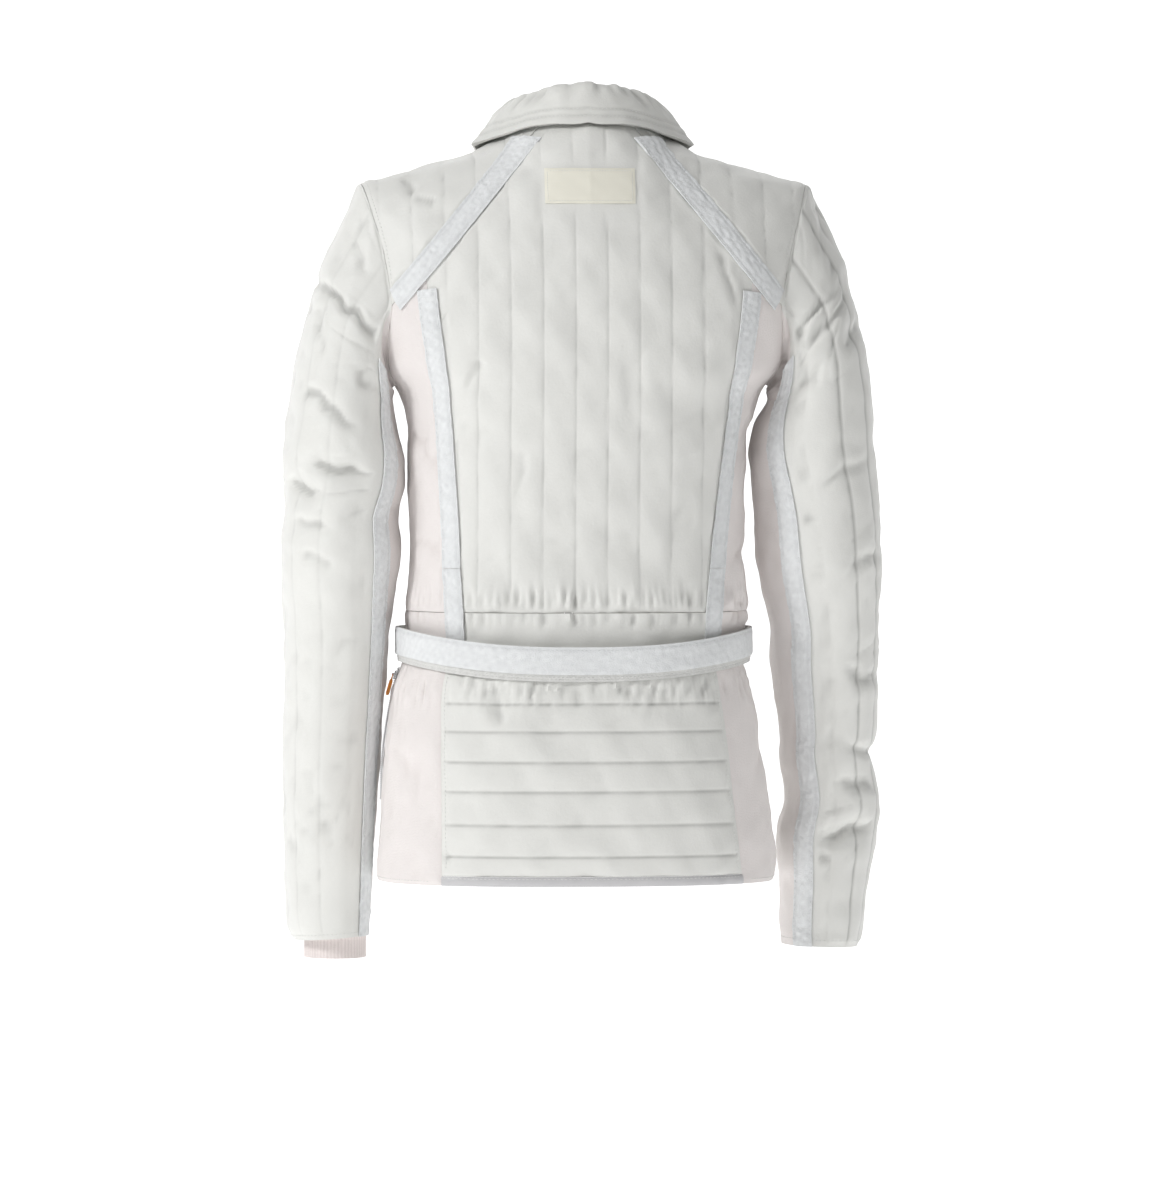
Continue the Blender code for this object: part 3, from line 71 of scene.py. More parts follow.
# Heights on the body
ARMPIT_Z = -0.2100
WAIST_Z = -0.4045
HEM_Z = -0.6412
BINDING_HEIGHT = 0.0084
BINDING_EXTRA = 0.0004
TAPE_END_Z = -0.4292
BODY_SHARES = (0.0, 0.126, 0.33, 0.50, 0.60, 0.68, 0.76, 0.87, 1.0)
QUILT_LINES = (-0.4840, -0.5080, -0.5342, -0.5597, -0.5887, -0.6160)
SKIRT_ROWS = (WAIST_Z - 2 * SEAM_INSET, TAPE_END_Z, -0.4580, *QUILT_LINES,
              HEM_Z + BINDING_HEIGHT, HEM_Z)

# Widths of the tapes and of the zips
TAPE_WIDTH = 0.0180
UNDER_TAPE = 0.0108
SIDE_TAPE_DROP = 0.0215
ZIP_WIDTH = 0.0070
ZIP_WALL = 0.0010
TAPE_COLUMNS, ZIP_COLUMNS, SKIRT_COLUMNS, SIDE_COLUMNS = 4, 3, 11, 5

# Neck opening
NECK_HALF_WIDTH = 0.066
NECK_BACK_Y = 0.0590
NECK_FRONT_Y = 0.0780
DIAGONAL_TOP_X = 0.042

# Roundness of the body sections (sides) and of the shoulders (over the top)
RING_POWER = 0.80
SHOULDER_POWER = 0.87
ARM_POWER = 0.92

BODY_NAMES = ("z", "centre", "half_width", "back", "front")
BODY_ROWS = (
    (0.0600, 0.0000, 0.2220, 0.1100, 0.0820),
    (0.0000, 0.0000, 0.2190, 0.1120, 0.0880),
    (-0.0320, 0.0000, 0.2155, 0.1130, 0.0940),
    (-0.0970, 0.0000, 0.2000, 0.1140, 0.1060),
    (-0.1380, 0.0010, 0.1925, 0.1140, 0.1130),
    (-0.1700, 0.0015, 0.1835, 0.1135, 0.1160),
    (-0.1950, 0.0020, 0.1715, 0.1130, 0.1170),
    (-0.2100, 0.0026, 0.1590, 0.1120, 0.1170),
    (-0.2385, 0.0035, 0.1510, 0.1100, 0.1150),
    (-0.2702, 0.0052, 0.1483, 0.1070, 0.1110),
    (-0.3080, 0.0060, 0.1465, 0.1030, 0.1060),
    (-0.3458, 0.0057, 0.1457, 0.1000, 0.1020),
    (-0.3819, 0.0055, 0.1470, 0.1010, 0.1000),
    (-0.4039, 0.0057, 0.1495, 0.1030, 0.1000),
    (-0.4312, 0.0080, 0.1455, 0.1010, 0.0970),
    (-0.4664, 0.0095, 0.1535, 0.1100, 0.1010),
    (-0.5034, 0.0092, 0.1615, 0.1170, 0.1050),
    (-0.5359, 0.0084, 0.1663, 0.1210, 0.1080),
    (-0.5711, 0.0070, 0.1690, 0.1230, 0.1100),
    (-0.6081, 0.0060, 0.1727, 0.1240, 0.1110),
    (-0.6400, 0.0065, 0.1738, 0.1240, 0.1110),
    (-0.6600, 0.0065, 0.1740, 0.1240, 0.1110),
)

# Height of the shoulder ridge over the distance from the middle
RIDGE_NAMES = ("x", "z")
RIDGE_ROWS = (
    (0.0000, 0.0500),
    (0.0300, 0.0400),
    (0.0500, 0.0260),
    (0.0660, 0.0125),
    (0.0977, -0.0045),
    (0.1300, -0.0140),
    (0.1650, -0.0245),
    (0.1960, -0.0315),
    (0.2150, -0.0370),
    (0.2400, -0.0450),
)

# Seam between the back and the side panels: x on the wearer's left and right
BACK_SEAM_NAMES = ("z", "left", "right")
BACK_SEAM_ROWS = (
    (-0.0600, 0.1417, -0.1417),
    (-0.1126, 0.1417, -0.1417),
    (-0.2340, 0.1262, -0.1258),
    (-0.3000, 0.1218, -0.1180),
    (-0.3652, 0.1192, -0.1118),
    (-0.4040, 0.1172, -0.1082),
    (-0.4290, 0.1160, -0.1068),
    (-0.4646, 0.1270, -0.1118),
    (-0.5148, 0.1294, -0.1188),
    (-0.5658, 0.1294, -0.1240),
    (-0.6169, 0.1294, -0.1302),
    (-0.6450, 0.1294, -0.1335),
)

# Height near which the back seam meets the diagonal
SEAM_TOP_Z = -0.10

# Seam between the side panels and the fronts: degrees forward of the side
FRONT_SEAM_NAMES = ("z", "degrees")
FRONT_SEAM_ROWS = (
    (-0.1500, 23.8),
    (-0.2100, 21.0),
    (-0.3000, 13.0),
    (-0.4040, 7.0),
    (-0.4600, 5.5),
    (-0.6600, 5.0),
)

# Armhole from the shoulder tip (share 0) to the armpit (share 1): degrees back of the side,
# and level over the shoulder, where 1 is the ridge and 0 the armpit
ARMHOLE_NAMES = ("share", "degrees", "level")
ARMHOLE_ROWS = (
    (0.000, 27.6, 1.0000),
    (0.125, 29.5, 0.7560),
    (0.250, 31.0, 0.5220),
    (0.375, 31.8, 0.3330),
    (0.500, 31.6, 0.2233),
    (0.625, 27.5, 0.1610),
    (0.750, 21.0, 0.0956),
    (0.875, 11.5, 0.0367),
    (1.000, 0.0, 0.0020),
)
FRONT_JOIN_SHARE = 0.75
ARMHOLE_CELLS = 8
ARCH_RADIUS = 0.0035

# Sleeves: outer and inner edge of each ring, its middle in depth and half depth, and the
# angle of the back seam from the outer edge
ARM_NAMES = ("outer_x", "outer_z", "inner_x", "inner_z", "middle_y", "half_depth", "seam")
ARM_LEFT = (
    (0.1954, -0.0308, 0.1682, -0.2094, 0.000, 0.0640, 90.0),
    (0.2182, -0.0722, 0.1686, -0.2125, 0.000, 0.0670, 116.0),
    (0.2376, -0.1320, 0.1690, -0.2160, 0.000, 0.0690, 133.0),
    (0.2508, -0.1848, 0.1690, -0.2220, -0.001, 0.0695, 141.0),
    (0.2587, -0.2376, 0.1663, -0.2411, -0.002, 0.0685, 140.0),
    (0.2631, -0.2684, 0.1586, -0.2684, -0.003, 0.0670, 135.0),
    (0.2614, -0.2948, 0.1578, -0.2930, -0.004, 0.0655, 132.0),
    (0.2614, -0.3212, 0.1637, -0.3212, -0.006, 0.0640, 128.0),
    (0.2640, -0.3520, 0.1602, -0.3520, -0.008, 0.0625, 126.5),
    (0.2628, -0.3872, 0.1645, -0.3872, -0.016, 0.0595, 130.0),
    (0.2607, -0.4224, 0.1695, -0.4224, -0.026, 0.0570, 134.5),
    (0.2606, -0.4840, 0.1745, -0.4840, -0.040, 0.0545, 138.0),
    (0.2614, -0.5544, 0.1785, -0.5544, -0.053, 0.0515, 139.0),
    (0.2596, -0.6248, 0.1828, -0.6248, -0.062, 0.0480, 142.0),
    (0.2571, -0.6770, 0.1857, -0.6740, -0.066, 0.0455, 144.0),
    (0.2522, -0.6975, 0.1874, -0.6930, -0.067, 0.0440, 145.0),
)
ARM_RIGHT = (
    (-0.1962, -0.0326, -0.1638, -0.2094, 0.000, 0.0640, 90.0),
    (-0.2170, -0.0660, -0.1640, -0.2125, 0.000, 0.0670, 114.0),
    (-0.2367, -0.1320, -0.1640, -0.2165, 0.000, 0.0690, 130.0),
    (-0.2490, -0.1866, -0.1628, -0.2235, -0.001, 0.0695, 138.0),
    (-0.2543, -0.2376, -0.1530, -0.2430, -0.002, 0.0685, 134.0),
    (-0.2552, -0.2658, -0.1482, -0.2684, -0.003, 0.0670, 129.0),
    (-0.2578, -0.2948, -0.1505, -0.2966, -0.004, 0.0655, 125.0),
    (-0.2605, -0.3256, -0.1531, -0.3256, -0.006, 0.0640, 122.0),
    (-0.2622, -0.3652, -0.1558, -0.3652, -0.009, 0.0615, 120.0),
    (-0.2614, -0.4180, -0.1684, -0.4180, -0.024, 0.0575, 120.0),
    (-0.2614, -0.4532, -0.1702, -0.4532, -0.032, 0.0560, 119.0),
    (-0.2615, -0.5113, -0.1785, -0.5113, -0.045, 0.0530, 121.0),
    (-0.2577, -0.5342, -0.1800, -0.5342, -0.049, 0.0520, 121.0),
    (-0.2648, -0.5738, -0.1843, -0.5738, -0.056, 0.0505, 121.0),
    (-0.2642, -0.6063, -0.1778, -0.6063, -0.060, 0.0490, 121.0),
    (-0.2568, -0.6459, -0.1809, -0.6459, -0.064, 0.0470, 121.0),
    (-0.2521, -0.6860, -0.1812, -0.6850, -0.067, 0.0450, 121.0),
    (-0.2484, -0.7055, -0.1831, -0.7035, -0.067, 0.0440, 121.0),
)
ARMHOLE_BLEND = 3.0
ARCH_END = 1.0
RING_START = 1.5
ARM_STEP = 0.25
UNDER_FRONT_DEGREES = 130.0
UNDER_FRONT_AT_ARMHOLE = 90.0

# Largest sleeve folds: both ends as seen from behind, half width and depth
# Columns: x0, z0, x1, z1, half width, depth
FOLDS_LEFT = (
    (0.2380, -0.1120, 0.1680, -0.1800, 0.0120, 0.0050),
    (0.2520, -0.2690, 0.1880, -0.2860, 0.0120, 0.0040),
    (0.2600, -0.2880, 0.2300, -0.3050, 0.0100, 0.0035),
)
FOLDS_RIGHT = (
    (-0.1620, -0.2080, -0.2180, -0.1480, 0.0110, 0.0050),
    (-0.1900, -0.2050, -0.2420, -0.1450, 0.0110, 0.0040),
    (-0.2030, -0.6100, -0.2600, -0.5930, 0.0110, 0.0045),
)

# Belt heights at the sides, and how much lower it hangs at the middle of the back
BELT_TOP_Z = -0.4190
BELT_SAG = 0.0150
BELT_FACE_HEIGHT = 0.0240
BELT_BACKING_HEIGHT = 0.0300
BELT_OFF = 0.0037
BELT_WALL = 0.0014
BELT_GAP_X = 0.0100
BELT_ROOM = 0.0045

# Collar: the roll line and the lower edge of the fall
COLLAR_NAMES = ("half_width", "back_y", "front_y", "back_z", "side_z", "front_z")
COLLAR_ROW = (0.0575, 0.0575, -0.0640, 0.0545, 0.0425, 0.0040)
COLLAR_OPEN_X = 0.0040
FALL_EDGE_HALF_WIDTH = 0.0940
FALL_EDGE_BACK_Y = 0.0625
FALL_EDGE_FRONT_Y = 0.0860
FALL_OFF = 0.0068
FALL_WALL = 0.0032
FALL_START_IN = 0.0016
FALL_BULGE_OUT = 0.0085
FALL_BULGE_UP = 0.0035
STAND_WALL = 0.0022
ROLL_GAP = 0.0018
FRONT_FOOT_GAP = 0.0018
BACK_FOOT_GAP = 0.0005

# Label on the back of the neck
LABEL_WIDTH = 0.0780
LABEL_TOP_Z = -0.0195
LABEL_BOTTOM_Z = -0.0500
LABEL_WALL = 0.0008

# Cuffs: centre, half width and half depth at the wrist, and the lower end
# Columns: side, x, y, half width, half depth, lower end, sleeve row at the upper end
CUFF_ROWS = (
    (1, 0.2160, -0.0640, 0.0262, 0.0300, -0.7135, 14.2),
    (-1, -0.2165, -0.0650, 0.0262, 0.0300, -0.6975, 15.6),
)
CUFF_WALL = 0.0016
CUFF_IN = 0.0011

# Zips
FRONT_ZIP_TOP_Z = -0.0420
POCKET_ZIP_TOP_Z = -0.4560
POCKET_ZIP_BOTTOM_Z = -0.5720

# Step of the differences that give a form's directions
STEP = 1e-3

# %% [markdown]
# ## The body form
# The skin of the body is one smooth function of a turn about the body and a level from the
# waist to the shoulder. Its sections are rounded boxes from the table. Seams, armholes and the
# neck are lines on it, so that every panel that meets at a seam has the same points there.

# %% Body form
def column(rows, names, key):
    """Values of one named column of a table."""
    return np.array([row[names.index(key)] for row in rows], float)


def smooth(at, xs, ys):
    """Value at 'at' of the smooth curve through (xs, ys), xs rising, level outside them."""
    at = np.asarray(at, float)
    slope = np.gradient(ys, xs)
    k = np.clip(np.searchsorted(xs, at) - 1, 0, len(xs) - 2)
    h = xs[k + 1] - xs[k]
    f = np.clip((at - xs[k]) / h, 0.0, 1.0)
    return (
        ys[k] * (1 + 2 * f) * (1 - f) ** 2
        + ys[k + 1] * f * f * (3 - 2 * f)
        + h * slope[k] * f * (1 - f) ** 2
        - h * slope[k + 1] * f * f * (1 - f)
    )


def by_height(rows, names, key, z):
    """Column of a table whose first column is z from high to low, at height z."""
    return smooth(z, column(rows, names, "z")[::-1], column(rows, names, key)[::-1])


def body_size(key, z):
    """A size of the body section at height z."""
    return by_height(BODY_ROWS, BODY_NAMES, key, z)


def word(side):
    """Left or right, as the wearer has it."""
    return "left" if side > 0 else "right"


def back_seam_x(side, z):
    """x of the seam between the back and a side panel."""
    return by_height(BACK_SEAM_ROWS, BACK_SEAM_NAMES, word(side), z)


def blend(a, b, f):
    """Straight blend from a to b."""
    return a + (b - a) * f


def ease(f):
    """0 to 1 with flat ends."""
    f = np.clip(f, 0.0, 1.0)
    return f * f * (3 - 2 * f)


def signed_power(v, power):
    """Power of the size with the sign kept."""
    return np.sign(v) * np.abs(v) ** power


def ridge(x):
    """Height of the shoulder ridge at x."""
    return smooth(np.abs(x), column(RIDGE_ROWS, RIDGE_NAMES, "x"),
                  column(RIDGE_ROWS, RIDGE_NAMES, "z"))


def skin(turn, level):
    """Body form. Turn runs from the wearer's left (0) over the back (pi/2) to the right (pi).
    Level is metres under the armpit when negative, and the share of the quarter turn from
    the armpit to the shoulder ridge when positive: x is half width times cos to a power,
    y depth times sin to a power, and over the shoulder y falls as z rises along a rounded arch."""
    turn, level = np.broadcast_arrays(np.asarray(turn, float), np.asarray(level, float))
    across = signed_power(np.cos(turn), RING_POWER)
    along = signed_power(np.sin(turn), RING_POWER)
    over = np.maximum(level, 0.0) * math.pi / 2
    rise = np.abs(np.sin(over)) ** SHOULDER_POWER
    lean = signed_power(np.cos(over), SHOULDER_POWER)
    z = ARMPIT_Z + np.minimum(level, 0.0)
    for _ in range(5):
        x = body_size("centre", z) + across * body_size("half_width", z)
        z = np.where(level > 0, ARMPIT_Z + (ridge(x) - ARMPIT_Z) * rise,
                     ARMPIT_Z + np.minimum(level, 0.0))
    depth = np.where(along > 0, body_size("back", z), body_size("front", z))
    return np.stack([x, depth * along * lean, z], -1)


def unit(v):
    """Vectors of length one."""
    return v / np.maximum(np.linalg.norm(v, axis=-1, keepdims=True), 1e-12)


def skin_normal(turn, level):
    """Outward direction of the body form."""
    a = skin(turn + STEP, level) - skin(turn - STEP, level)
    b = skin(turn, level + STEP) - skin(turn, level - STEP)
    return unit(np.cross(a, b))


def turn_of(x, z):
    """Turn on the back half at which the form has this x at height z."""
    share = (x - body_size("centre", z)) / body_size("half_width", z)
    return np.arccos(np.clip(signed_power(share, 1 / RING_POWER), -1, 1))


def level_of(x, z):
    """Level of the form at height z and side x."""
    z = np.asarray(z, float)
    share = np.clip((z - ARMPIT_Z) / (ridge(x) - ARMPIT_Z), 0.0, 1.0)
    over = np.arcsin(share ** (1 / SHOULDER_POWER)) / (math.pi / 2)
    return np.where(z > ARMPIT_Z, over, z - ARMPIT_Z)


def height_of(turn, level):
    """Height of a point of the body form."""
    return skin(turn, level)[..., 2]


def back_seam(side, z):
    """Turn of the seam between the back and a side panel."""
    return turn_of(back_seam_x(side, z), z)


def front_seam(side, z):
    """Turn of the seam between a side panel and a front."""
    forward = np.radians(by_height(FRONT_SEAM_ROWS, FRONT_SEAM_NAMES, "degrees", z))
    return -forward if side > 0 else math.pi + forward


def front_edge(side, z):
    """Turn of the edge of a front beside the front zip."""
    forward = turn_of(body_size("centre", z) + ZIP_WIDTH / 2 + SEAM_INSET, z)
    return -forward if side > 0 else math.pi + forward


def armhole(side, share, front=False):
    """Turn and level of the armhole, from the shoulder tip (0) to the armpit (1)."""
    shares = column(ARMHOLE_ROWS, ARMHOLE_NAMES, "share")
    back = np.radians(smooth(share, shares, column(ARMHOLE_ROWS, ARMHOLE_NAMES, "degrees")))
    level = smooth(share, shares, column(ARMHOLE_ROWS, ARMHOLE_NAMES, "level"))
    back = -back if front else back
    return (back if side > 0 else math.pi - back), level


def at_depth(x, y):
    """Turn and level of the point of the form over the shoulder with this x and depth y."""
    x, y = np.broadcast_arrays(np.atleast_1d(np.asarray(x, float)), np.asarray(y, float))
    levels = np.linspace(0, 1, 241)
    z = ARMPIT_Z + (ridge(x)[:, None] - ARMPIT_Z) * np.sin(levels * math.pi / 2) ** SHOULDER_POWER
    back = turn_of(x[:, None], z)
    turn = np.where(y[:, None] >= 0, back, -back)
    depth = np.abs(skin(turn, levels)[..., 1])
    level = np.array([np.interp(abs(d), row[::-1], levels[::-1]) for d, row in zip(y, depth)])
    z = ARMPIT_Z + (ridge(x) - ARMPIT_Z) * np.sin(level * math.pi / 2) ** SHOULDER_POWER
    back = turn_of(x, z)
    return np.where(y >= 0, back, -back), level


def round_neck(beta, half_width, back_y, front_y, back_power=1.0):
    """Turn and level of an oval round the neck, seen from above, that lies on the form."""
    s = np.sin(beta)
    back = back_y * np.abs(s) ** back_power
    return at_depth(half_width * np.cos(beta), np.where(s > 0, back, front_y * s))


def neck_at(x, front=False):
    """Turn and level of the neck seam at x."""
    beta = np.arccos(np.clip(np.asarray(x, float) / NECK_HALF_WIDTH, -1, 1))
    return round_neck(-beta if front else beta, NECK_HALF_WIDTH, NECK_BACK_Y, NECK_FRONT_Y)


def neck_z(x):
    """Height of the neck seam at x on the back."""
    x = np.asarray(x, float)
    return height_of(*neck_at(x.ravel())).reshape(x.shape)


def diagonal_ends(side):
    """Both ends, in x and z, of the diagonal seam from the neck to the armhole."""
    end = skin(*armhole(side, 0.5))
    top_z = float(neck_z(np.array([DIAGONAL_TOP_X]))[0])
    return (side * DIAGONAL_TOP_X, top_z), (float(end[0]), float(end[2]))


def diagonal_z(side, x):
    """Height of the diagonal seam at x."""
    (x0, z0), (x1, z1) = diagonal_ends(side)
    return z0 + (x - x0) * (z1 - z0) / (x1 - x0)


def seam_top(side):
    """x and z at which the back seam meets the diagonal."""
    x = back_seam_x(side, SEAM_TOP_Z)
    return float(x), float(diagonal_z(side, x))


def lengths(points, axis):
    """Distance from both ends of the grid along an axis."""
    steps = np.linalg.norm(np.diff(points, axis=axis), axis=-1)
    start = np.concatenate([np.zeros_like(np.take(steps, [0], axis)), np.cumsum(steps, axis)], axis)
    return start, np.take(start, [-1], axis) - start


def edge_fade(points, axes=(0, 1)):
    """0 at the edges of a grid, 1 further in than the width over which the quilting rises."""
    inward = np.min([d for axis in axes for d in lengths(points, axis)], axis=0)
    return ease(inward / EDGE_RISE)


def clear_of(points, lines):
    """0 at grid points that a tape along one of the lines covers, and beside those, else 1."""
    flat = points.reshape(-1, 1, 3)
    away = np.min([np.linalg.norm(flat - line[None], axis=-1).min(1) for line in lines], axis=0)
    taped = np.pad(away.reshape(points.shape[:2]) < TAPE_CLEAR, 1)
    rows, cols = points.shape[:2]
    beside = [taped[r:r + rows, c:c + cols] for r in range(3) for c in range(3)]
    return 1.0 - np.any(beside, axis=0)


def seam_lines(side):
    """Points along the back seam and the diagonal seam of one side, close together."""
    (x0, z0), (x1, z1) = diagonal_ends(side)
    share = np.linspace(0, 1, 120)
    x, z = blend(x0, x1, share), blend(z0, z1, share)
    down = np.linspace(WAIST_Z, seam_top(side)[1], 160)
    turn = back_seam(side, down)
    return [skin(turn_of(x, z), level_of(x, z)),
            skin(turn, level_of(skin(turn, level_of(0.0, down))[..., 0], down))]


def inset(points, axes=(0, 1)):
    """The grid with its edges drawn in by the seam clearance."""
    points = points.copy()
    for axis in axes:
        p = np.moveaxis(points, axis, 0)
        p[0] += unit(p[1] - p[0]) * SEAM_INSET
        p[-1] += unit(p[-2] - p[-1]) * SEAM_INSET
    return points

# %% [markdown]
# ## The sleeve form
# A sleeve is a row of rounded rings between its outer and inner edge. Its upper end opens into
# the armhole of the body.

# %% Sleeve form
def arm_table(side):
    """Rows of the sleeve on one side."""
    return ARM_LEFT if side > 0 else ARM_RIGHT


def arm_column(side, key, along):
    """A column of the sleeve table at a row number, whole or between."""
    rows = arm_table(side)
    return smooth(along, np.arange(len(rows), dtype=float), column(rows, ARM_NAMES, key))


def arm_ring(side, around, along):
    """Rounded ring between the outer and inner edge of the sleeve."""
    c = signed_power(np.cos(np.radians(around)), ARM_POWER)
    s = signed_power(np.sin(np.radians(around)), ARM_POWER)
    edge = [[arm_column(side, f"{name}_{axis}", along) for axis in "xz"] for name in ("outer", "inner")]
    x = blend(edge[1][0], edge[0][0], (c + 1) / 2)
    z = blend(edge[1][1], edge[0][1], (c + 1) / 2)
    y = arm_column(side, "middle_y", along) + arm_column(side, "half_depth", along) * s
    return np.stack(np.broadcast_arrays(x, y, z), -1)


def arm_hole(side, around):
    """Armhole point that a sleeve angle is sewn to, and the body's outward direction there."""
    turned = (np.asarray(around, float) + 180) % 360 - 180
    share = np.abs(turned) / 180
    back = armhole(side, share)
    front = armhole(side, share, front=True)
    turn = np.where(turned >= 0, back[0], front[0])
    return skin(turn, back[1]), skin_normal(turn, back[1])


def fold_depth(side, points, around, along):
    """Depth of the largest folds at points of the back half of a sleeve."""
    depth = np.zeros(points.shape[:-1])
    for x0, z0, x1, z1, half_width, deep in FOLDS_LEFT if side > 0 else FOLDS_RIGHT:
        run = np.array([x1 - x0, z1 - z0])
        off = points[..., [0, 2]] - np.array([x0, z0])
        share = np.clip((off @ run) / (run @ run), 0, 1)
        away = np.linalg.norm(off - share[..., None] * run, axis=-1)
        depth += deep * np.exp(-((away / half_width) ** 2)) * ease(4 * share) * ease(4 * (1 - share))
    return depth * ease(1.6 * np.sin(np.radians(around))) * ease((along - RING_START) / 2.0)


def arch(side, around, along):
    """First part of a sleeve: from the armhole seam it bends round a small radius, from the
    body's own direction to that of the sleeve, up and over where the sleeve hangs down."""
    hole, out = arm_hole(side, around)
    ahead, behind = arm_hole(side, around + 2)[0], arm_hole(side, around - 2)[0]
    away = -side * unit(np.cross(out, unit(ahead - behind)))
    goal = unit(arm_open(side, around, RING_START) - hole)
    bend = np.arctan2(np.sum(goal * out, -1), np.sum(goal * away, -1))
    bend = np.clip(bend, -1.2, math.radians(172))
    angle = np.abs(bend) * along
    s, c, turned = np.sin(angle)[..., None], np.cos(angle)[..., None], np.sign(bend)[..., None]
    step = (SEAM_INSET * 2 + 0.0015 * along)[..., None]
    start = away * c + out * turned * s
    return hole + ARCH_RADIUS * (s * away + turned * (1 - c) * out) + step * start


def arm_open(side, around, along):
    """Sleeve form past its start: rings that are pulled toward the armhole at first."""
    hole, _ = arm_hole(side, around)
    fade = np.clip(1 - along / ARMHOLE_BLEND, 0, 1) ** 2 * np.ones_like(around)
    return arm_ring(side, around, along) + (hole - arm_ring(side, around, 0.0)) * fade[..., None]


def arm_plain(side, around, along):
    """Sleeve form without folds."""
    around, along = np.broadcast_arrays(np.asarray(around, float), np.asarray(along, float))
    start = arch(side, around, np.clip(along, 0, ARCH_END))
    rings = arm_open(side, around, np.maximum(along, RING_START))
    share = np.clip((along - ARCH_END) / (RING_START - ARCH_END), 0, 1)[..., None]
    return blend(start, rings, share)


def arm_normal(side, around, along):
    """Outward direction of the sleeve form, the body's own at the armhole seam."""
    around, along = np.broadcast_arrays(np.asarray(around, float), np.asarray(along, float))
    a = arm_plain(side, around + 1, along) - arm_plain(side, around - 1, along)
    b = arm_plain(side, around, along + ARM_STEP) - arm_plain(side, around, along - ARM_STEP)
    _, at_hole = arm_hole(side, around)
    own = unit(np.cross(b, a)) * side
    return unit(blend(at_hole, own, ease(along / 0.05)[..., None]))

# %% [markdown]
# ## Fine grids
# A panel is a small table of turns and levels, the same points that its solid has. Cells are
# split into equal parts and put on the exact form again, so that outlines and seams stay where
# the solids have them and only the surface between becomes finer.

# %% Fine grids and meshes
CREASE_SEED, RIPPLE_WAVES = 11, 14
SETTLE_STEPS, SETTLE_BELOW = 3, 0.75
STITCH, STITCH_GAP, STITCH_RADIUS, STITCH_POINTS = 0.0026, 0.0011, 0.00030, 10
PILLOW_POWER, RIB_POWER = 0.36, 0.40
LINING_FOLLOWS = 0.9
SMALLEST_CUT, LEAST_FILL = 0.0105, 0.301

# Pitch of the fine grid, piece by piece
PITCH = {"back": 0.0026, "label": 0.0012, "shoulder": 0.0024, "side": 0.0034, "front": 0.0042,
         "binding": 0.0016, "tape": 0.0015, "sleeve": 0.0030, "under_sleeve": 0.0036,
         "sleeve_tape": 0.0016, "zip": 0.0012}

# How far rows of stitches lie in from an edge
STITCH_IN = {"label": 0.0022, "seam": 0.0042, "skirt": 0.0040, "binding": 0.0018, "hem": 0.0110,
             "sleeve": 0.0100, "tape": 0.0023}


def pillows(x):
    """Height share of the quilting at x: the cosine over one pitch, its size to a power, so
    that it is 0 on the stitch lines and nearly flat between them."""
    return np.abs(np.cos(math.pi * x / QUILT_PITCH)) ** PILLOW_POWER


def cell_pillows(cells, power=PILLOW_POWER):
    """Height share of the quilting where one channel covers two cells of the coarse grid."""
    return np.abs(np.sin(math.pi * cells / 2)) ** power


def refine(grid, parts):
    """The grid with each cell split into parts[0] rows and parts[1] columns, straight between."""
    for axis, n in enumerate(parts):
        at = np.arange((grid.shape[axis] - 1) * n + 1) / n
        low = np.minimum(at.astype(int), grid.shape[axis] - 2)
        share = (at - low).reshape((-1, 1) if axis == 0 else (1, -1))
        a, b = np.take(grid, low, axis), np.take(grid, low + 1, axis)
        grid = a + (b - a) * share
    return grid


def parts_for(points, pitch):
    """Splits of each cell, down and across, that bring a coarse grid to about this pitch."""
    down = lengths(points, 0)[0][-1].max() / (points.shape[0] - 1)
    across = lengths(points, 1)[0][:, -1].max() / (points.shape[1] - 1)
    return max(1, round(down / pitch)), max(1, round(across / pitch))


def refine_on_skin(turn, level, parts):
    """Fine turns and levels of a panel. They start straight between the coarse ones and are
    moved, by Gauss-Newton steps along both directions, to the form's nearest points to the
    coarse panel's flat cells, so that lines stay straight. Near the ridge they are left."""
    coarse = skin(turn, level)
    aim = np.stack([refine(coarse[..., k], parts) for k in range(3)], -1)
    turn, level = refine(turn, parts), refine(level, parts)
    share = ease((SETTLE_BELOW - level) / 0.2)
    for _ in range(SETTLE_STEPS):
        off = aim - skin(turn, level)
        a = (skin(turn + STEP, level) - skin(turn - STEP, level)) / (2 * STEP)
        b = (skin(turn, level + STEP) - skin(turn, level - STEP)) / (2 * STEP)
        aa, bb, ab = (a * a).sum(-1), (b * b).sum(-1), (a * b).sum(-1)
        off_a, off_b = (off * a).sum(-1), (off * b).sum(-1)
        whole = aa * bb - ab * ab + 1e-12
        turn = turn + share * np.clip((off_a * bb - off_b * ab) / whole, -0.05, 0.05)
        level = level + share * np.clip((off_b * aa - off_a * ab) / whole, -0.05, 0.05)
    return turn, level


def ripple(points, size, seed):
    """Soft uneven field of about -1 to 1 at points: sine waves of about this length in fixed
    random directions, added up."""
    rng = np.random.default_rng(seed)
    aim = unit(rng.normal(size=(RIPPLE_WAVES, 3))) * (2 * math.pi / size)
    aim = aim * rng.uniform(0.7, 1.6, (RIPPLE_WAVES, 1))
    waves = np.sin(points @ aim.T + rng.uniform(0, 2 * math.pi, RIPPLE_WAVES))
    return waves.sum(-1) / math.sqrt(RIPPLE_WAVES)


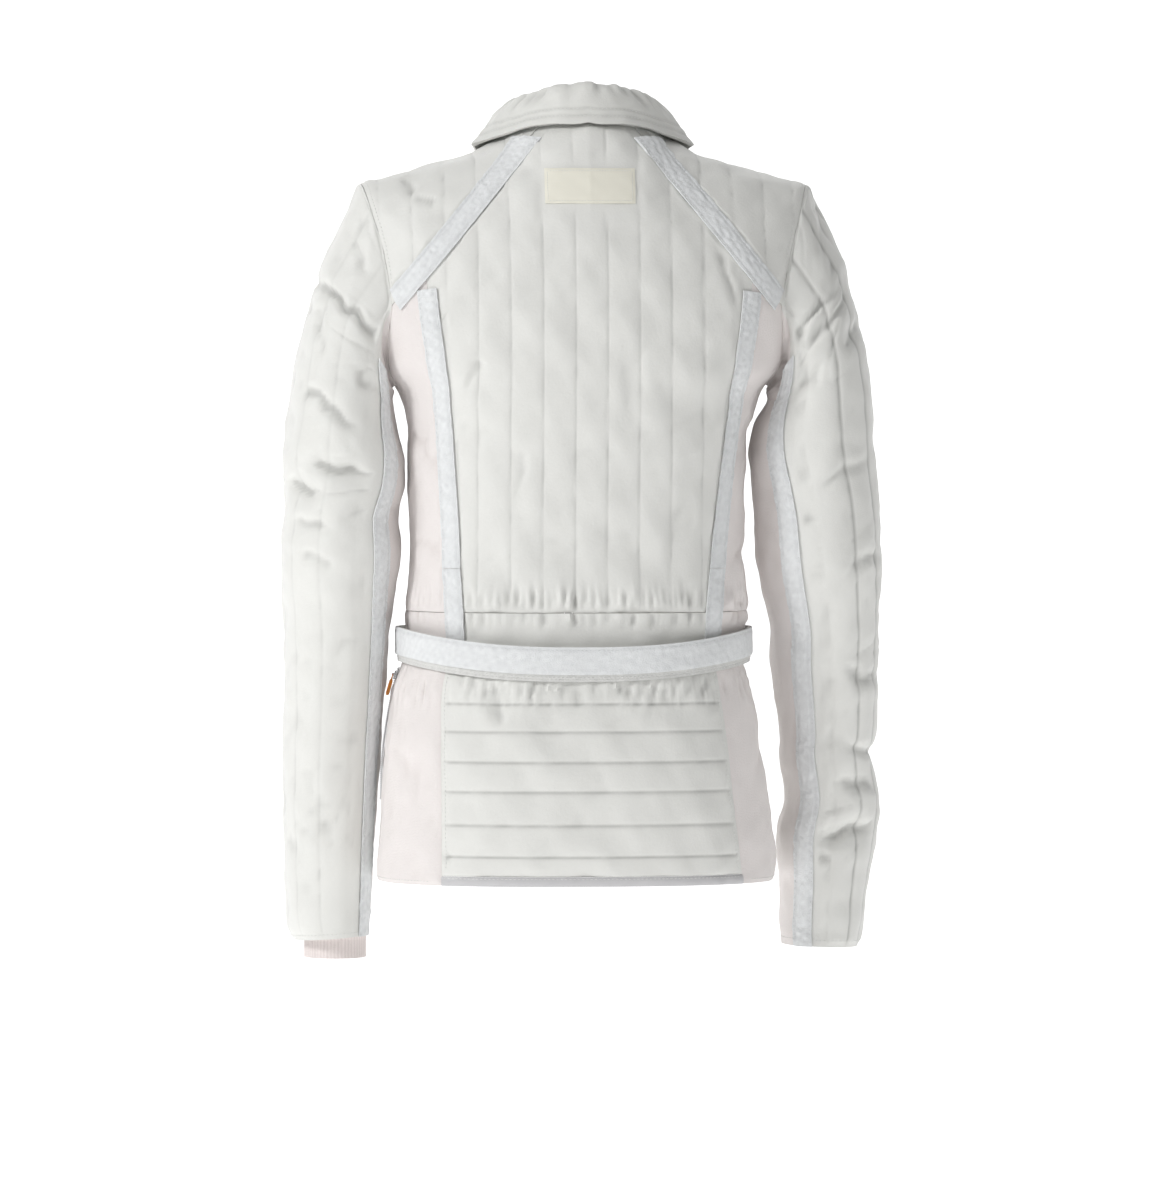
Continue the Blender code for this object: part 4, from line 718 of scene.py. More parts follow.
def troughs(points, rows):
    """Depth of listed creases at points. Each row is a line seen from behind. Across it the
    trough is a bell curve, deepest at a third of its length, and it fades out at both ends."""
    flat = points[..., [0, 2]]
    wander = np.stack([ripple(points, 0.030, CREASE_SEED), ripple(points, 0.034, CREASE_SEED + 1)], -1)
    flat = flat + 0.0022 * wander
    depth = np.zeros(points.shape[:-1])
    for x0, z0, x1, z1, half_width, deep in rows:
        run = np.array([x1 - x0, z1 - z0])
        off = flat - np.array([x0, z0])
        along = (off @ run) / (run @ run)
        share = np.clip(along, 0, 1)
        away = np.linalg.norm(off - share[..., None] * run, axis=-1)
        ends = ease(5 * share) * ease(2.2 * (1 - share)) * (0.55 + 0.45 * ease(along + 0.5))
        depth += deep * np.exp(-((away / half_width) ** 2)) * ends
    return depth


def mesh_piece(name, verts, faces, uv, material, nodes=(), shade=None):
    """A piece of the scene from whole arrays: quads, a metric UV and a painted shade per point."""
    a, b, c, d = (verts[faces[:, k]] for k in (0, 1, 2, -1))
    volume = (np.einsum("ij,ij->i", a, np.cross(b, c)) + np.einsum("ij,ij->i", a, np.cross(c, d))).sum()
    faces = faces if volume > 0 else faces[:, ::-1]
    size = faces.shape[1]
    mesh = bpy.data.meshes.new(name)
    mesh.vertices.add(len(verts))
    mesh.vertices.foreach_set("co", verts.astype(np.float32).ravel())
    mesh.loops.add(faces.size)
    mesh.loops.foreach_set("vertex_index", faces.astype(np.int32).ravel())
    mesh.polygons.add(len(faces))
    mesh.polygons.foreach_set("loop_start", np.arange(0, faces.size, size, dtype=np.int32))
    mesh.update(calc_edges=True)
    mesh.polygons.foreach_set("use_smooth", np.ones(len(faces), bool))
    layer = mesh.uv_layers.new(name="cloth")
    layer.data.foreach_set("uv", uv[faces.ravel()].astype(np.float32).ravel())
    if shade is not None:
        # Painted shade per point, which the material turns into a darker base colour
        field = mesh.attributes.new("shade", "FLOAT", "POINT")
        field.data.foreach_set("value", shade.astype(np.float32).ravel())
    mesh.materials.append(material)
    mesh.set_sharp_from_angle(angle=math.radians(55))
    obj = bpy.data.objects.new(name, mesh)
    bpy.context.scene.collection.objects.link(obj)
    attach(obj, "jacket")
    if nodes:
        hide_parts(*nodes)
    return obj


def quads_of(index):
    """Quads of a grid of point numbers."""
    corners = [index[:-1, :-1], index[:-1, 1:], index[1:, 1:], index[1:, :-1]]
    return np.stack(corners, -1).reshape(-1, 4)


def shell(name, outer, inner, material, round_=False, shade=None, **more):
    """A closed wall of quads between two grids of points, with its UV in metres along the grid."""
    rows, cols = outer.shape[:2]
    index = np.arange(rows * cols).reshape(rows, cols)
    if round_:
        index = np.concatenate([index, index[:, :1]], 1)
    count = rows * cols
    cells = quads_of(index)
    faces = [cells, cells[:, ::-1] + count]
    rims = [(index[0], True), (index[-1], False)]
    if not round_:
        rims += [(index[:, 0], False), (index[:, -1], True)]
    for rim, turned in rims:
        strip = np.stack([rim[:-1], rim[1:], rim[1:] + count, rim[:-1] + count], -1)
        faces.append(strip[:, ::-1] if turned else strip)
    across, down = lengths(outer, 1)[0], lengths(outer, 0)[0]
    uv = np.stack([across, down], -1).reshape(-1, 2)
    # Painted shade of the face, with random tone on some pieces; the lining has none
    tone_and_shade = np.zeros((rows, cols)) if shade is None else shade
    verts = np.concatenate([outer.reshape(-1, 3), inner.reshape(-1, 3)])
    return mesh_piece(f"{name}_cloth", verts, np.concatenate(faces), np.concatenate([uv, uv]), material,
                      shade=np.concatenate([tone_and_shade.ravel(), tone_and_shade.ravel() * 0]), **more)


def lozenges(path, out, length, gap, radius, flat=1.0):
    """Small spindle-shaped bodies one after another along a path: a point, two rings of four
    and a point. The step is length plus gap. Returns vertices and quads."""
    steps = np.linalg.norm(np.diff(path, axis=0), axis=-1)
    at = np.concatenate([[0], np.cumsum(steps)])
    start = np.arange(gap, at[-1] - length, length + gap)
    if len(start) == 0:
        return np.zeros((0, 3)), np.zeros((0, 4), int)

    def sample(values, s):
        return np.stack([np.interp(s, at, values[:, k]) for k in range(3)], -1)

    a, b = sample(path, start), sample(path, start + length)
    n = unit(sample(out, start + length / 2))
    ahead = unit(b - a)
    wide = np.cross(ahead, n)
    rings = []
    for share in (0.22, 0.78):
        middle = a + (b - a) * share + n * radius * 0.3
        for c, s in ((1, 0), (0, 1), (-1, 0), (0, -1)):
            rings.append(middle + radius * (c * wide + s * flat * n))
    verts = np.stack([a, *rings, b], 1)
    quads = [(1, 2, 6, 5), (2, 3, 7, 6), (3, 4, 8, 7), (4, 1, 5, 8), (0, 2, 1, 4), (0, 4, 3, 2),
             (9, 5, 6, 7), (9, 7, 8, 5)]
    faces = np.array(quads)[None] + (np.arange(len(start)) * STITCH_POINTS)[:, None, None]
    return verts.reshape(-1, 3), faces.reshape(-1, 4)


sewing = {}


def sew(group, path, out, length=STITCH, gap=STITCH_GAP, radius=STITCH_RADIUS, flat=1.0):
    """Adds a row of stitches along a path to a group, which becomes one piece at the end."""
    sewing.setdefault(group, []).append(lozenges(path, out, length, gap, radius, flat))


def sew_edges(group, face, normal, inset_by, edges, **stitch):
    """Rows of stitches along edges of a face grid, set in by a distance. Left and right are its
    first and last columns, start and end its first and last rows."""
    across, down = lengths(face, 1)[0][:, -1].mean(), lengths(face, 0)[0][-1].mean()
    r = max(1, round(inset_by / down * (face.shape[0] - 1)))
    c = max(1, round(inset_by / across * (face.shape[1] - 1)))
    picks = {"left": (slice(r, -r), c), "right": (slice(r, -r), -1 - c),
             "start": (r, slice(c, -c)), "end": (-1 - r, slice(c, -c))}
    for edge in edges:
        sew(group, face[picks[edge]], normal[picks[edge]], **stitch)


def declare(mid):
    """Longest row and column of a sheet's own grid, each at least the smallest cut; they are not kept.
    """
    wide, long = lengths(mid, 1)[0][:, -1].max(), lengths(mid, 0)[0][-1].max()
    wide, long = max(wide, SMALLEST_CUT), max(long, SMALLEST_CUT)

# %% [markdown]
# ## Materials
# The main cloth is a cotton with a faint satin face, so it gets a fine twill, a little sheen
# and soft uneven tone. Each cloth also has a second, darker colour for painted shade: pieces
# carry a shade per point, painted darker in the stitched channels, creases and hollows.
# The side panels are brushed knit: matte, blush, with a soft nap. The tape is looped pile,
# which is grainy and slightly cooler. All patterns read the pieces' own UV, which is in
# metres, or their Object coordinates.

# %% Materials
def link(tree, a, b):
    """Joins two sockets of a node tree."""
    tree.links.new(a, b)


def node(tree, kind, **settings):
    """A node with its settings: names of sockets, or of the node's own properties."""
    made = tree.nodes.new(kind)
    for key, value in settings.items():
        if hasattr(made, key):
            setattr(made, key, value)
        else:
            made.inputs[key.replace("_", " ")].default_value = value
    return made


def maths(tree, operation, a, b):
    """A Math node on sockets or numbers."""
    made = tree.nodes.new("ShaderNodeMath")
    made.operation = operation
    for socket, value in zip(made.inputs, (a, b)):
        if isinstance(value, (int, float)):
            socket.default_value = value
        else:
            link(tree, value, socket)
    return made.outputs[0]


def cloth_material(name, colour, dark, thread, thread_depth, grain, grain_depth, roughness,
                   sheen, sheen_colour=(1, 1, 1), spread=0.05, diagonal=False, metallic=0.0):
    """A cloth: two sets of threads crossing at a pitch, a grain of a size, and a colour that
    varies slowly and turns to the dark one where the piece's painted shade is high: shade of
    channels, creases and hollows painted into the base colour."""
    material = bpy.data.materials.new(name)
    material.use_nodes = True
    tree = material.node_tree
    shader = tree.nodes["Principled BSDF"]
    shader.inputs["Roughness"].default_value = roughness
    shader.inputs["Sheen Weight"].default_value = sheen
    shader.inputs["Sheen Roughness"].default_value = 0.5
    shader.inputs["Sheen Tint"].default_value = (*sheen_colour, 1)
    shader.inputs["Metallic"].default_value = metallic
    uv = node(tree, "ShaderNodeUVMap", uv_map="cloth").outputs[0]
    place = node(tree, "ShaderNodeTexCoord").outputs["Object"]
    scale = 2 * math.pi / 20 / thread
    heights = []
    for direction in ("X", "Y"):
        wave = node(tree, "ShaderNodeTexWave", Scale=scale, Distortion=0.6)
        wave.bands_direction = "DIAGONAL" if diagonal and direction == "X" else direction
        wave.inputs["Detail"].default_value = 1.0
        link(tree, uv, wave.inputs["Vector"])
        heights.append(wave.outputs["Fac"])
    weave = maths(tree, "MULTIPLY", heights[0], heights[1])
    fine = node(tree, "ShaderNodeTexNoise", Scale=1 / grain, Detail=4.0, Roughness=0.6)
    link(tree, place, fine.inputs["Vector"])
    slow = node(tree, "ShaderNodeTexNoise", Scale=22.0, Detail=3.0)
    link(tree, place, slow.inputs["Vector"])
    height = maths(tree, "ADD", maths(tree, "MULTIPLY", weave, thread_depth),
                   maths(tree, "MULTIPLY", fine.outputs["Fac"], grain_depth))
    bump = node(tree, "ShaderNodeBump", Strength=1.0, Distance=1.0)
    link(tree, height, bump.inputs["Height"])
    link(tree, bump.outputs["Normal"], shader.inputs["Normal"])
    # Painted shade: the piece's shade per point pulls the base colour toward the dark one
    shade = node(tree, "ShaderNodeAttribute", attribute_name="shade").outputs["Fac"]
    tone_and_shade = maths(tree, "ADD", maths(tree, "MULTIPLY", slow.outputs["Fac"], spread),
                 maths(tree, "MULTIPLY", fine.outputs["Fac"], spread))
    amount = maths(tree, "ADD", tone_and_shade, shade)
    amount.node.use_clamp = True
    mix = node(tree, "ShaderNodeMix", data_type="RGBA")
    sockets = [s for s in mix.inputs if s.type == "RGBA"]
    sockets[0].default_value, sockets[1].default_value = (*colour, 1), (*dark, 1)
    link(tree, amount, mix.inputs["Factor"])
    link(tree, [s for s in mix.outputs if s.type == "RGBA"][0], shader.inputs["Base Color"])
    material.diffuse_color = (*colour, 1)
    return material


# The second colour of each cloth is the dark one: painted shade where the piece's shade is high, and the
# dark end of its random tone
looks = {
    "quilted": cloth_material("quilted_cotton", (0.77, 0.77, 0.74), (0.45, 0.45, 0.43), 0.0007,
                              0.00005, 0.0030, 0.00022, 0.52, 0.25, diagonal=True, spread=0.09),
    "fleece": cloth_material("brushed_knit", (0.80, 0.76, 0.745), (0.64, 0.59, 0.57), 0.0013,
                             0.00008, 0.0016, 0.00035, 0.95, 0.5, (1, 0.96, 0.94), spread=0.12),
    "tape": cloth_material("loop_tape", (0.82, 0.835, 0.84), (0.57, 0.58, 0.59), 0.0011,
                           0.00012, 0.0010, 0.00050, 0.88, 0.2, spread=0.22),
    "belt": cloth_material("belt_backing", (0.70, 0.70, 0.68), (0.42, 0.42, 0.41), 0.0009,
                           0.00008, 0.0020, 0.00018, 0.75, 0.2, spread=0.1),
    "collar": cloth_material("collar_cotton", (0.715, 0.715, 0.685), (0.42, 0.42, 0.40), 0.0007,
                             0.00005, 0.0026, 0.00022, 0.60, 0.25, diagonal=True, spread=0.09),
    "label": cloth_material("label_weave", (0.84, 0.82, 0.72), (0.62, 0.60, 0.50), 0.0005,
                            0.00006, 0.0012, 0.00008, 0.55, 0.1, spread=0.08),
    "cuff": cloth_material("cuff_rib", (0.87, 0.80, 0.78), (0.58, 0.50, 0.48), 0.0012,
                           0.00015, 0.0012, 0.00030, 0.95, 0.5, (1, 0.95, 0.93), spread=0.15),
    "binding": cloth_material("binding_satin", (0.56, 0.555, 0.565), (0.36, 0.355, 0.365), 0.0006,
                              0.00003, 0.0030, 0.00008, 0.38, 0.15, diagonal=True, spread=0.06),
    "thread": cloth_material("sewing_thread", (0.74, 0.74, 0.72), (0.45, 0.45, 0.44), 0.0003,
                             0.00002, 0.0006, 0.00003, 0.60, 0.1, spread=0.1),
    "tape_thread": cloth_material("tape_thread", (0.78, 0.79, 0.80), (0.50, 0.51, 0.53), 0.0003,
                                  0.00002, 0.0006, 0.00003, 0.60, 0.1, spread=0.1),
    "zip": cloth_material("zip_weave", (0.62, 0.62, 0.63), (0.36, 0.36, 0.37), 0.0008,
                          0.00008, 0.0010, 0.00010, 0.72, 0.1, spread=0.12),
    "teeth": cloth_material("zip_teeth", (0.55, 0.55, 0.56), (0.30, 0.30, 0.31), 0.0020,
                            0.00001, 0.0006, 0.00002, 0.35, 0.0, spread=0.1),
    "orange": cloth_material("orange_moulding", (0.86, 0.30, 0.04), (0.55, 0.14, 0.02), 0.0012,
                             0.00003, 0.0005, 0.00004, 0.42, 0.0, spread=0.1),
    "metal": cloth_material("slider_metal", (0.60, 0.60, 0.61), (0.34, 0.34, 0.35), 0.0009,
                            0.00001, 0.0003, 0.00002, 0.32, 0.0, spread=0.15, metallic=1.0),
    "pull": cloth_material("moulded_pull", (0.62, 0.62, 0.64), (0.36, 0.36, 0.38), 0.0012,
                           0.00002, 0.0005, 0.00003, 0.45, 0.0, spread=0.12),
}
print(len(looks), "materials")

# %% [markdown]
# ## Creases and quilting
# Cloth that is worn and padded shows two kinds of relief. The stitched channels are regular and
# raised between their lines. The creases are not: they gather at the armpit and elbow, under the
# belt and at the waist seam. The main ones are placed from the photograph, as rows of a
# table, and soft uneven waves fill in between. A simulation was not used, since the folds are
# few and their places are known.

# %% Creases and relief
# Creases, as lines seen from behind. Columns: x0, z0, x1, z1, half width, depth
BACK_CREASES = (
    (-0.1126, -0.0827, -0.1258, -0.1496, 0.0050, 0.0025),
    (0.0959, -0.1830, 0.1082, -0.2182, 0.0055, 0.0025),
    (-0.1584, -0.1452, -0.1549, -0.2015, 0.0050, 0.0028),
    (0.1602, -0.0273, 0.1478, -0.0414, 0.0050, 0.0028),
    (0.1478, -0.0414, 0.1267, -0.0519, 0.0050, 0.0025),
    (0.0550, -0.2500, 0.0640, -0.3300, 0.0070, 0.0018),
    (-0.0380, -0.1700, -0.0300, -0.2700, 0.0075, 0.0018),
    (-0.0850, -0.2900, -0.0700, -0.3700, 0.0070, 0.0018),
    (0.1232, -0.6248, 0.1478, -0.6116, 0.0060, 0.0028),
    (0.0907, -0.4660, 0.0720, -0.5060, 0.0055, 0.0028),
    (-0.0238, -0.4660, -0.0350, -0.4780, 0.0050, 0.0022),
    (-0.0630, -0.4650, -0.0660, -0.4900, 0.0050, 0.0022),
)
FRONT_CREASES = (
    (0.1300, -0.1200, 0.0800, -0.1700, 0.0080, 0.0022),
    (-0.1250, -0.1250, -0.0700, -0.1850, 0.0080, 0.0022),
    (0.1150, -0.3300, 0.0600, -0.3700, 0.0070, 0.0018),
    (-0.1150, -0.3350, -0.0500, -0.3800, 0.0070, 0.0018),
    (0.1300, -0.4800, 0.0800, -0.5400, 0.0080, 0.0018),
    (-0.1300, -0.4850, -0.0700, -0.5600, 0.0080, 0.0018),
)
SIDE_CREASES = (
    (0.1500, -0.2450, 0.1300, -0.2900, 0.0060, 0.0029),
    (0.1480, -0.3400, 0.1240, -0.3650, 0.0055, 0.0023),
    (-0.1480, -0.2350, -0.1300, -0.2900, 0.0060, 0.0029),
    (-0.1470, -0.3450, -0.1200, -0.3700, 0.0055, 0.0023),
    (0.1650, -0.5200, 0.1400, -0.5900, 0.0070, 0.0023),
    (-0.1650, -0.5000, -0.1380, -0.5700, 0.0070, 0.0023),
)
ARM_CREASES_LEFT = (
    (0.2420, -0.1080, 0.1660, -0.1830, 0.0046, 0.0062),
    (0.2482, -0.2100, 0.1954, -0.2490, 0.0050, 0.0048),
    (0.2473, -0.2719, 0.1800, -0.2869, 0.0046, 0.0058),
    (0.2620, -0.2880, 0.2332, -0.3054, 0.0042, 0.0050),
    (0.2540, -0.3250, 0.2200, -0.3330, 0.0050, 0.0030),
    (0.2500, -0.3560, 0.2160, -0.3640, 0.0060, 0.0026),
    (0.2060, -0.4200, 0.2320, -0.4800, 0.0080, 0.0018),
    (0.2450, -0.5400, 0.2200, -0.6200, 0.0080, 0.0020),
    (0.2020, -0.0800, 0.1930, -0.1180, 0.0060, 0.0024),
    (0.2360, -0.1300, 0.2260, -0.1900, 0.0050, 0.0024),
    (0.1960, -0.1900, 0.1900, -0.2150, 0.0050, 0.0032),
)
ARM_CREASES_RIGHT = (
    (-0.1740, -0.1742, -0.2288, -0.1100, 0.0044, 0.0050),
    (-0.1560, -0.2080, -0.1892, -0.1769, 0.0046, 0.0055),
    (-0.1892, -0.1769, -0.2350, -0.1206, 0.0044, 0.0046),
    (-0.1700, -0.2250, -0.2150, -0.1800, 0.0046, 0.0040),
    (-0.2262, -0.1760, -0.2394, -0.1452, 0.0050, 0.0034),
    (-0.2121, -0.1285, -0.2138, -0.0915, 0.0045, 0.0026),
    (-0.2020, -0.0440, -0.2120, -0.0880, 0.0040, 0.0026),
    (-0.2100, -0.6098, -0.2660, -0.5922, 0.0046, 0.0056),
    (-0.1880, -0.6136, -0.2260, -0.6312, 0.0050, 0.0038),
    (-0.2620, -0.3560, -0.2200, -0.3700, 0.0055, 0.0034),
    (-0.2640, -0.4680, -0.2250, -0.4560, 0.0050, 0.0036),
    (-0.2640, -0.5350, -0.2300, -0.5200, 0.0050, 0.0036),
    (-0.2640, -0.5640, -0.2200, -0.5560, 0.0048, 0.0034),
    (-0.2500, -0.2700, -0.1900, -0.3000, 0.0060, 0.0026),
    (-0.1650, -0.3350, -0.2000, -0.3200, 0.0050, 0.0026),
)
# Patches of crinkles. Columns: x, z, reach, run in x, run in z, depth
CRINKLES_LEFT = (
    (0.1950, -0.1550, 0.0450, -0.6600, -0.6500, 0.0014),
    (0.2150, -0.2850, 0.0350, -0.6000, -0.1200, 0.0015),
    (0.2350, -0.6000, 0.0500, -0.5000, 0.2000, 0.0008),
    (0.1950, -0.0700, 0.0300, -0.2000, -0.6000, 0.0009),
)
CRINKLES_RIGHT = (
    (-0.2000, -0.1600, 0.0500, -0.4000, 0.5500, 0.0016),
    (-0.2220, -0.6000, 0.0350, -0.5500, 0.1200, 0.0016),
    (-0.2450, -0.3600, 0.0400, -0.5000, 0.0000, 0.0009),
    (-0.2450, -0.4600, 0.0450, -0.5000, 0.1000, 0.0009),
    (-0.2080, -0.0700, 0.0300, -0.1500, 0.6000, 0.0014),
)
CRINKLE_WIDTH, CRINKLE_STRETCH = 0.024, 0.30
RIB_CLEARNESS = {"left": 0.35, "right": 1.2}
# Painted shade of hollows: cells each way in the mean, shade per metre below it, and the least depth
# that is shaded
CAVITY_CELLS, CAVITY_SHADE, CAVITY_LEAST = 3, 400.0, 0.00022
WAVE, WAVE_LENGTH = 0.0008, 0.045
PUCKER, PUCKER_WIDTH = 0.0013, 0.0085
# Height of the quilted channels, and the painted shade toward their stitch lines: its depth and how fast
# it falls off
CHANNEL, CHANNEL_DARK, CHANNEL_FALL = 0.62 * QUILT_HEIGHT, 0.36, 2.6
SEAM_DIP, SEAM_DIP_HALF_WIDTH = 0.0009, 0.0026


def pucker(points, reach):
    """Small folds that run down from a seam: waves across the piece that hardly change with
    height, times a reach from 0 to 1."""
    flat = points * np.array([1.0, 1.0, 0.12])
    return PUCKER * reach * ripple(flat, PUCKER_WIDTH, CREASE_SEED + 5)


def crinkles(points, rows):
    """Depth of patches of fine folds, each a row: a place seen from behind, its reach and the
    way its folds run. The folds are the zero lines of a ripple drawn out along that way."""
    depth = np.zeros(points.shape[:-1])
    for x, z, reach, run_x, run_z, deep in rows:
        off = points[..., [0, 2]] - np.array([x, z])
        run = unit(np.array([run_x, run_z]))
        along, across = off @ run, off @ np.array([-run[1], run[0]])
        drawn = np.stack([along * CRINKLE_STRETCH, points[..., 1] * 0.5, across], -1)
        lines = 1 - np.clip(1.5 * np.abs(ripple(drawn, CRINKLE_WIDTH, CREASE_SEED + 13)), 0, 1)
        depth += deep * lines ** 2 * np.exp(-(off * off).sum(-1) / reach ** 2)
    return depth


def cavity(height):
    """Painted shade of hollows: darker the further a point lies below the mean of its neighbours, past a
    least.
    """
    soft = height
    for axis in (0, 1):
        moved = [np.roll(soft, k, axis) for k in range(-CAVITY_CELLS, CAVITY_CELLS + 1)]
        soft = np.mean(moved, axis=0)
    return CAVITY_SHADE * np.clip(soft - height - CAVITY_LEAST, 0, 0.0015)


def near(value, middle, half_width):
    """Bell curve round a middle."""
    return np.exp(-(((value - middle) / half_width) ** 2))


def soft_relief(points, rows, room):
    """Creases and waves where there is room, 1 in the open and 0 beside seams and tapes, and
    the puckers at the waist seam and under the belt."""
    z = points[..., 2]
    reach = near(z, WAIST_Z + 0.009, 0.011) + 0.9 * near(z, BELT_TOP_Z - 0.052, 0.014)
    crush = near(z, WAIST_Z - 0.006, 0.005) * 0.8
    wave = WAVE * ripple(points, WAVE_LENGTH, CREASE_SEED + 2)
    wave = wave + 0.25 * WAVE * ripple(points, 0.022, CREASE_SEED + 3)
    return (wave - troughs(points, rows)) * room + pucker(points, reach * room + crush * room)


def rim_dip(points, axes=(0, 1)):
    """The cloth drawn in along its sewn edges."""
    dip = np.zeros(points.shape[:2])
    for axis in axes:
        for far in lengths(points, axis):
            dip = np.maximum(dip, near(far, 0.0, SEAM_DIP_HALF_WIDTH))
    return -SEAM_DIP * dip


def padded(name, plain, points, normal, coarse, look, relief, inner, outer):
    """A sheet on points of a form, with its relief. The relief is a function of the plain points
    and of row and column numbers of the coarse grid, and gives height and painted shade, to which
    the painted shade of hollows is added. The lining follows the hollows of the face, not its pads."""
    rows, cols = (np.linspace(0, n - 1, m) for n, m in zip(coarse, plain.shape))
    height, shade = relief(plain, rows[:, None], cols[None, :])
    height = np.broadcast_to(height, plain.shape[:2])
    # Painted shade of channels and creases, and of hollows
    shade = np.broadcast_to(shade, plain.shape[:2]) + cavity(height)
    face = points + normal * (outer + height)[..., None]
    lining = points + normal * (inner + np.minimum(height, 0.0) * LINING_FOLLOWS)[..., None]
    obj = shell(name, face, lining, looks[look], shade=shade, nodes=(name,))
    declare((face + lining) / 2)
    return face, normal


def cloth(name, turn, level, look, pitch, relief, inner=-WALL / 2, outer=WALL / 2, seams=(0, 1),
          held="folded"):
    """A panel on the body form, at a fine grid and drawn in at its seams."""
    coarse = turn.shape
    turn, level = refine_on_skin(turn, level, parts_for(skin(turn, level), pitch))
    plain, normal = skin(turn, level), skin_normal(turn, level)
    return padded(name, plain, inset(plain, seams), normal, coarse, look, relief, inner, outer)


def lying(low, wall):
    """Settings of a piece that lies on the cloth, from a height over its middle."""
    return {"inner": low, "outer": low + wall, "seams": (), "held": "laid"}


def channel_shade(share, room):
    """Painted shade of stitched channels: the colour darker toward the stitch line."""
    return CHANNEL_DARK * (1 - share) ** CHANNEL_FALL * room

# %% [markdown]
# ## Back and shoulders
# The centre back is one panel of two layers with wadding between, stitched through in vertical
# lines 27.9 mm apart. The lines stand at fixed x, so they run on over the diagonal seam into the
# shoulder pieces. The label is a blank cream patch sewn on all four sides.

# %% Back, shoulders and label
def make_back():
    """Centre back. Its middle columns stand at fixed x, a quarter of a quilting pitch apart, the
    outer ones draw together toward the waist. All run up to the diagonal and neck seams."""
    edge = seam_top(1)[0]
    last = 14 * QUILT_PITCH / 4
    half = np.append(QUILT_PITCH / 4 * np.array([*range(1, 15), *OUTER_LINES]), edge)
    top_x = np.concatenate([-half[::-1], [0.0], half])
    side_z = np.where(top_x > 0, diagonal_z(1, top_x), diagonal_z(-1, top_x))
    inner = np.clip(top_x, -DIAGONAL_TOP_X, DIAGONAL_TOP_X)
    top_z = np.where(np.abs(top_x) > DIAGONAL_TOP_X, side_z, neck_z(inner))
    z = blend(WAIST_Z, top_z[None, :], np.array(BODY_SHARES)[:, None])
    x = np.broadcast_to(top_x, z.shape).copy()
    for side in (1, -1):
        share = np.clip((side * top_x - last) / (edge - last), 0, 1)
        x = np.where(share > 0, blend(side * last, back_seam_x(side, z), share), x)

    def relief(points, rows, cols):
        px, pz = points[..., 0], points[..., 2]
        room = edge_fade(points) * clear_of(points, seam_lines(1) + seam_lines(-1))
        flat = label_flat(px, pz)
        channels = CHANNEL * pillows(px + 0.0005 * ripple(points, 0.05, 3)) * room * flat
        height = channels + soft_relief(points, BACK_CREASES, room * (0.25 + 0.75 * flat))
        return height + rim_dip(points, (0,)), channel_shade(pillows(px), room * flat)

    cloth("back_panel", turn_of(x, z), level_of(x, z), "quilted", PITCH["back"], relief)


def label_flat(x, z):
    """1 away from the label and low under it, where its stitching presses the quilting flat."""
    middle = (LABEL_TOP_Z + LABEL_BOTTOM_Z) / 2
    far_x = (np.abs(x) - LABEL_WIDTH / 2) / 0.010
    far_z = (np.abs(z - middle) - (LABEL_TOP_Z - LABEL_BOTTOM_Z) / 2) / 0.020
    return ease(np.maximum(np.maximum(far_x, far_z), 0.0))


def make_label():
    """Blank neck label lying on the back."""
    x = np.linspace(-LABEL_WIDTH / 2, LABEL_WIDTH / 2, 13)[None, :]
    z = np.linspace(LABEL_BOTTOM_Z, LABEL_TOP_Z, 4)[:, None]
    x, z = np.broadcast_arrays(x, z)

    def relief(points, rows, cols):
        return 0.0002 * ripple(points, 0.02, 9) + 0.4 * rim_dip(points), 0.0

    face, normal = cloth("label", turn_of(x, z), level_of(x, z), "label", PITCH["label"], relief,
                         **lying(WALL / 2 + ON_CLOTH, LABEL_WALL))
    sew_edges("label_stitches", face, normal, STITCH_IN["label"], ("left", "right", "end", "start"),
              length=0.0018, gap=0.0007, radius=0.00024)


def make_shoulder(side):
    """Quilted shoulder piece between the diagonal seam and the shoulder ridge."""
    (x0, _), (x1, _) = diagonal_ends(side)
    x0, x1 = abs(x0), abs(x1)
    tip = abs(float(skin(*armhole(side, 0.0))[0]))
    quarter = QUILT_PITCH / 4
    shared = quarter * np.array([*range(10, 15), *OUTER_LINES])
    edge, ends = seam_top(1)[0], np.linspace(0, 1, 5)
    low = np.concatenate([[x0], quarter * np.arange(7, 10), shared, blend(edge, x1, ends)])
    high = np.concatenate([blend(NECK_HALF_WIDTH, shared[0], ends[:-1]), shared,
                           blend(edge, tip, ends)])
    low, high = side * low, side * high
    low_turn, low_level = turn_of(low, diagonal_z(side, low)), level_of(low, diagonal_z(side, low))
    high_turn, high_level = turn_of(high, ridge(high)), np.ones_like(high)
    long = np.linalg.norm(skin(high_turn, high_level) - skin(low_turn, low_level), axis=-1)
    v = np.linspace(0, 1, ARMHOLE_CELLS + 1)[:, None]
    first = np.clip(UNDER_TAPE / long, v[1], 0.4)
    bent = v ** (np.log(first) / math.log(v[1, 0]))
    turn, level = blend(low_turn, high_turn, bent), blend(low_level, high_level, bent)
    share = np.linspace(0, 1, turn.shape[1])[None, :]
    turn, level = bend_to(turn, level, armhole(side, 0.5 * (1 - v[:, 0])), share ** 4, -1)
    neck_x = side * blend(x0, NECK_HALF_WIDTH, bent[:, 0])
    turn, level = bend_to(turn, level, neck_at(neck_x), (1 - share) ** 4, 0)

    def relief(points, rows, cols):
        room = edge_fade(points) * clear_of(points, seam_lines(side))
        share = pillows(points[..., 0] + 0.0006 * ripple(points, 0.05, 4))
        height = CHANNEL * share * room + soft_relief(points, BACK_CREASES, room)
        return height, channel_shade(share, room)

    face, normal = cloth(f"shoulder_{word(side)}", turn, level, "quilted", PITCH["shoulder"], relief)
    sew_edges("seam_stitches", face, normal, STITCH_IN["seam"], ("right",))


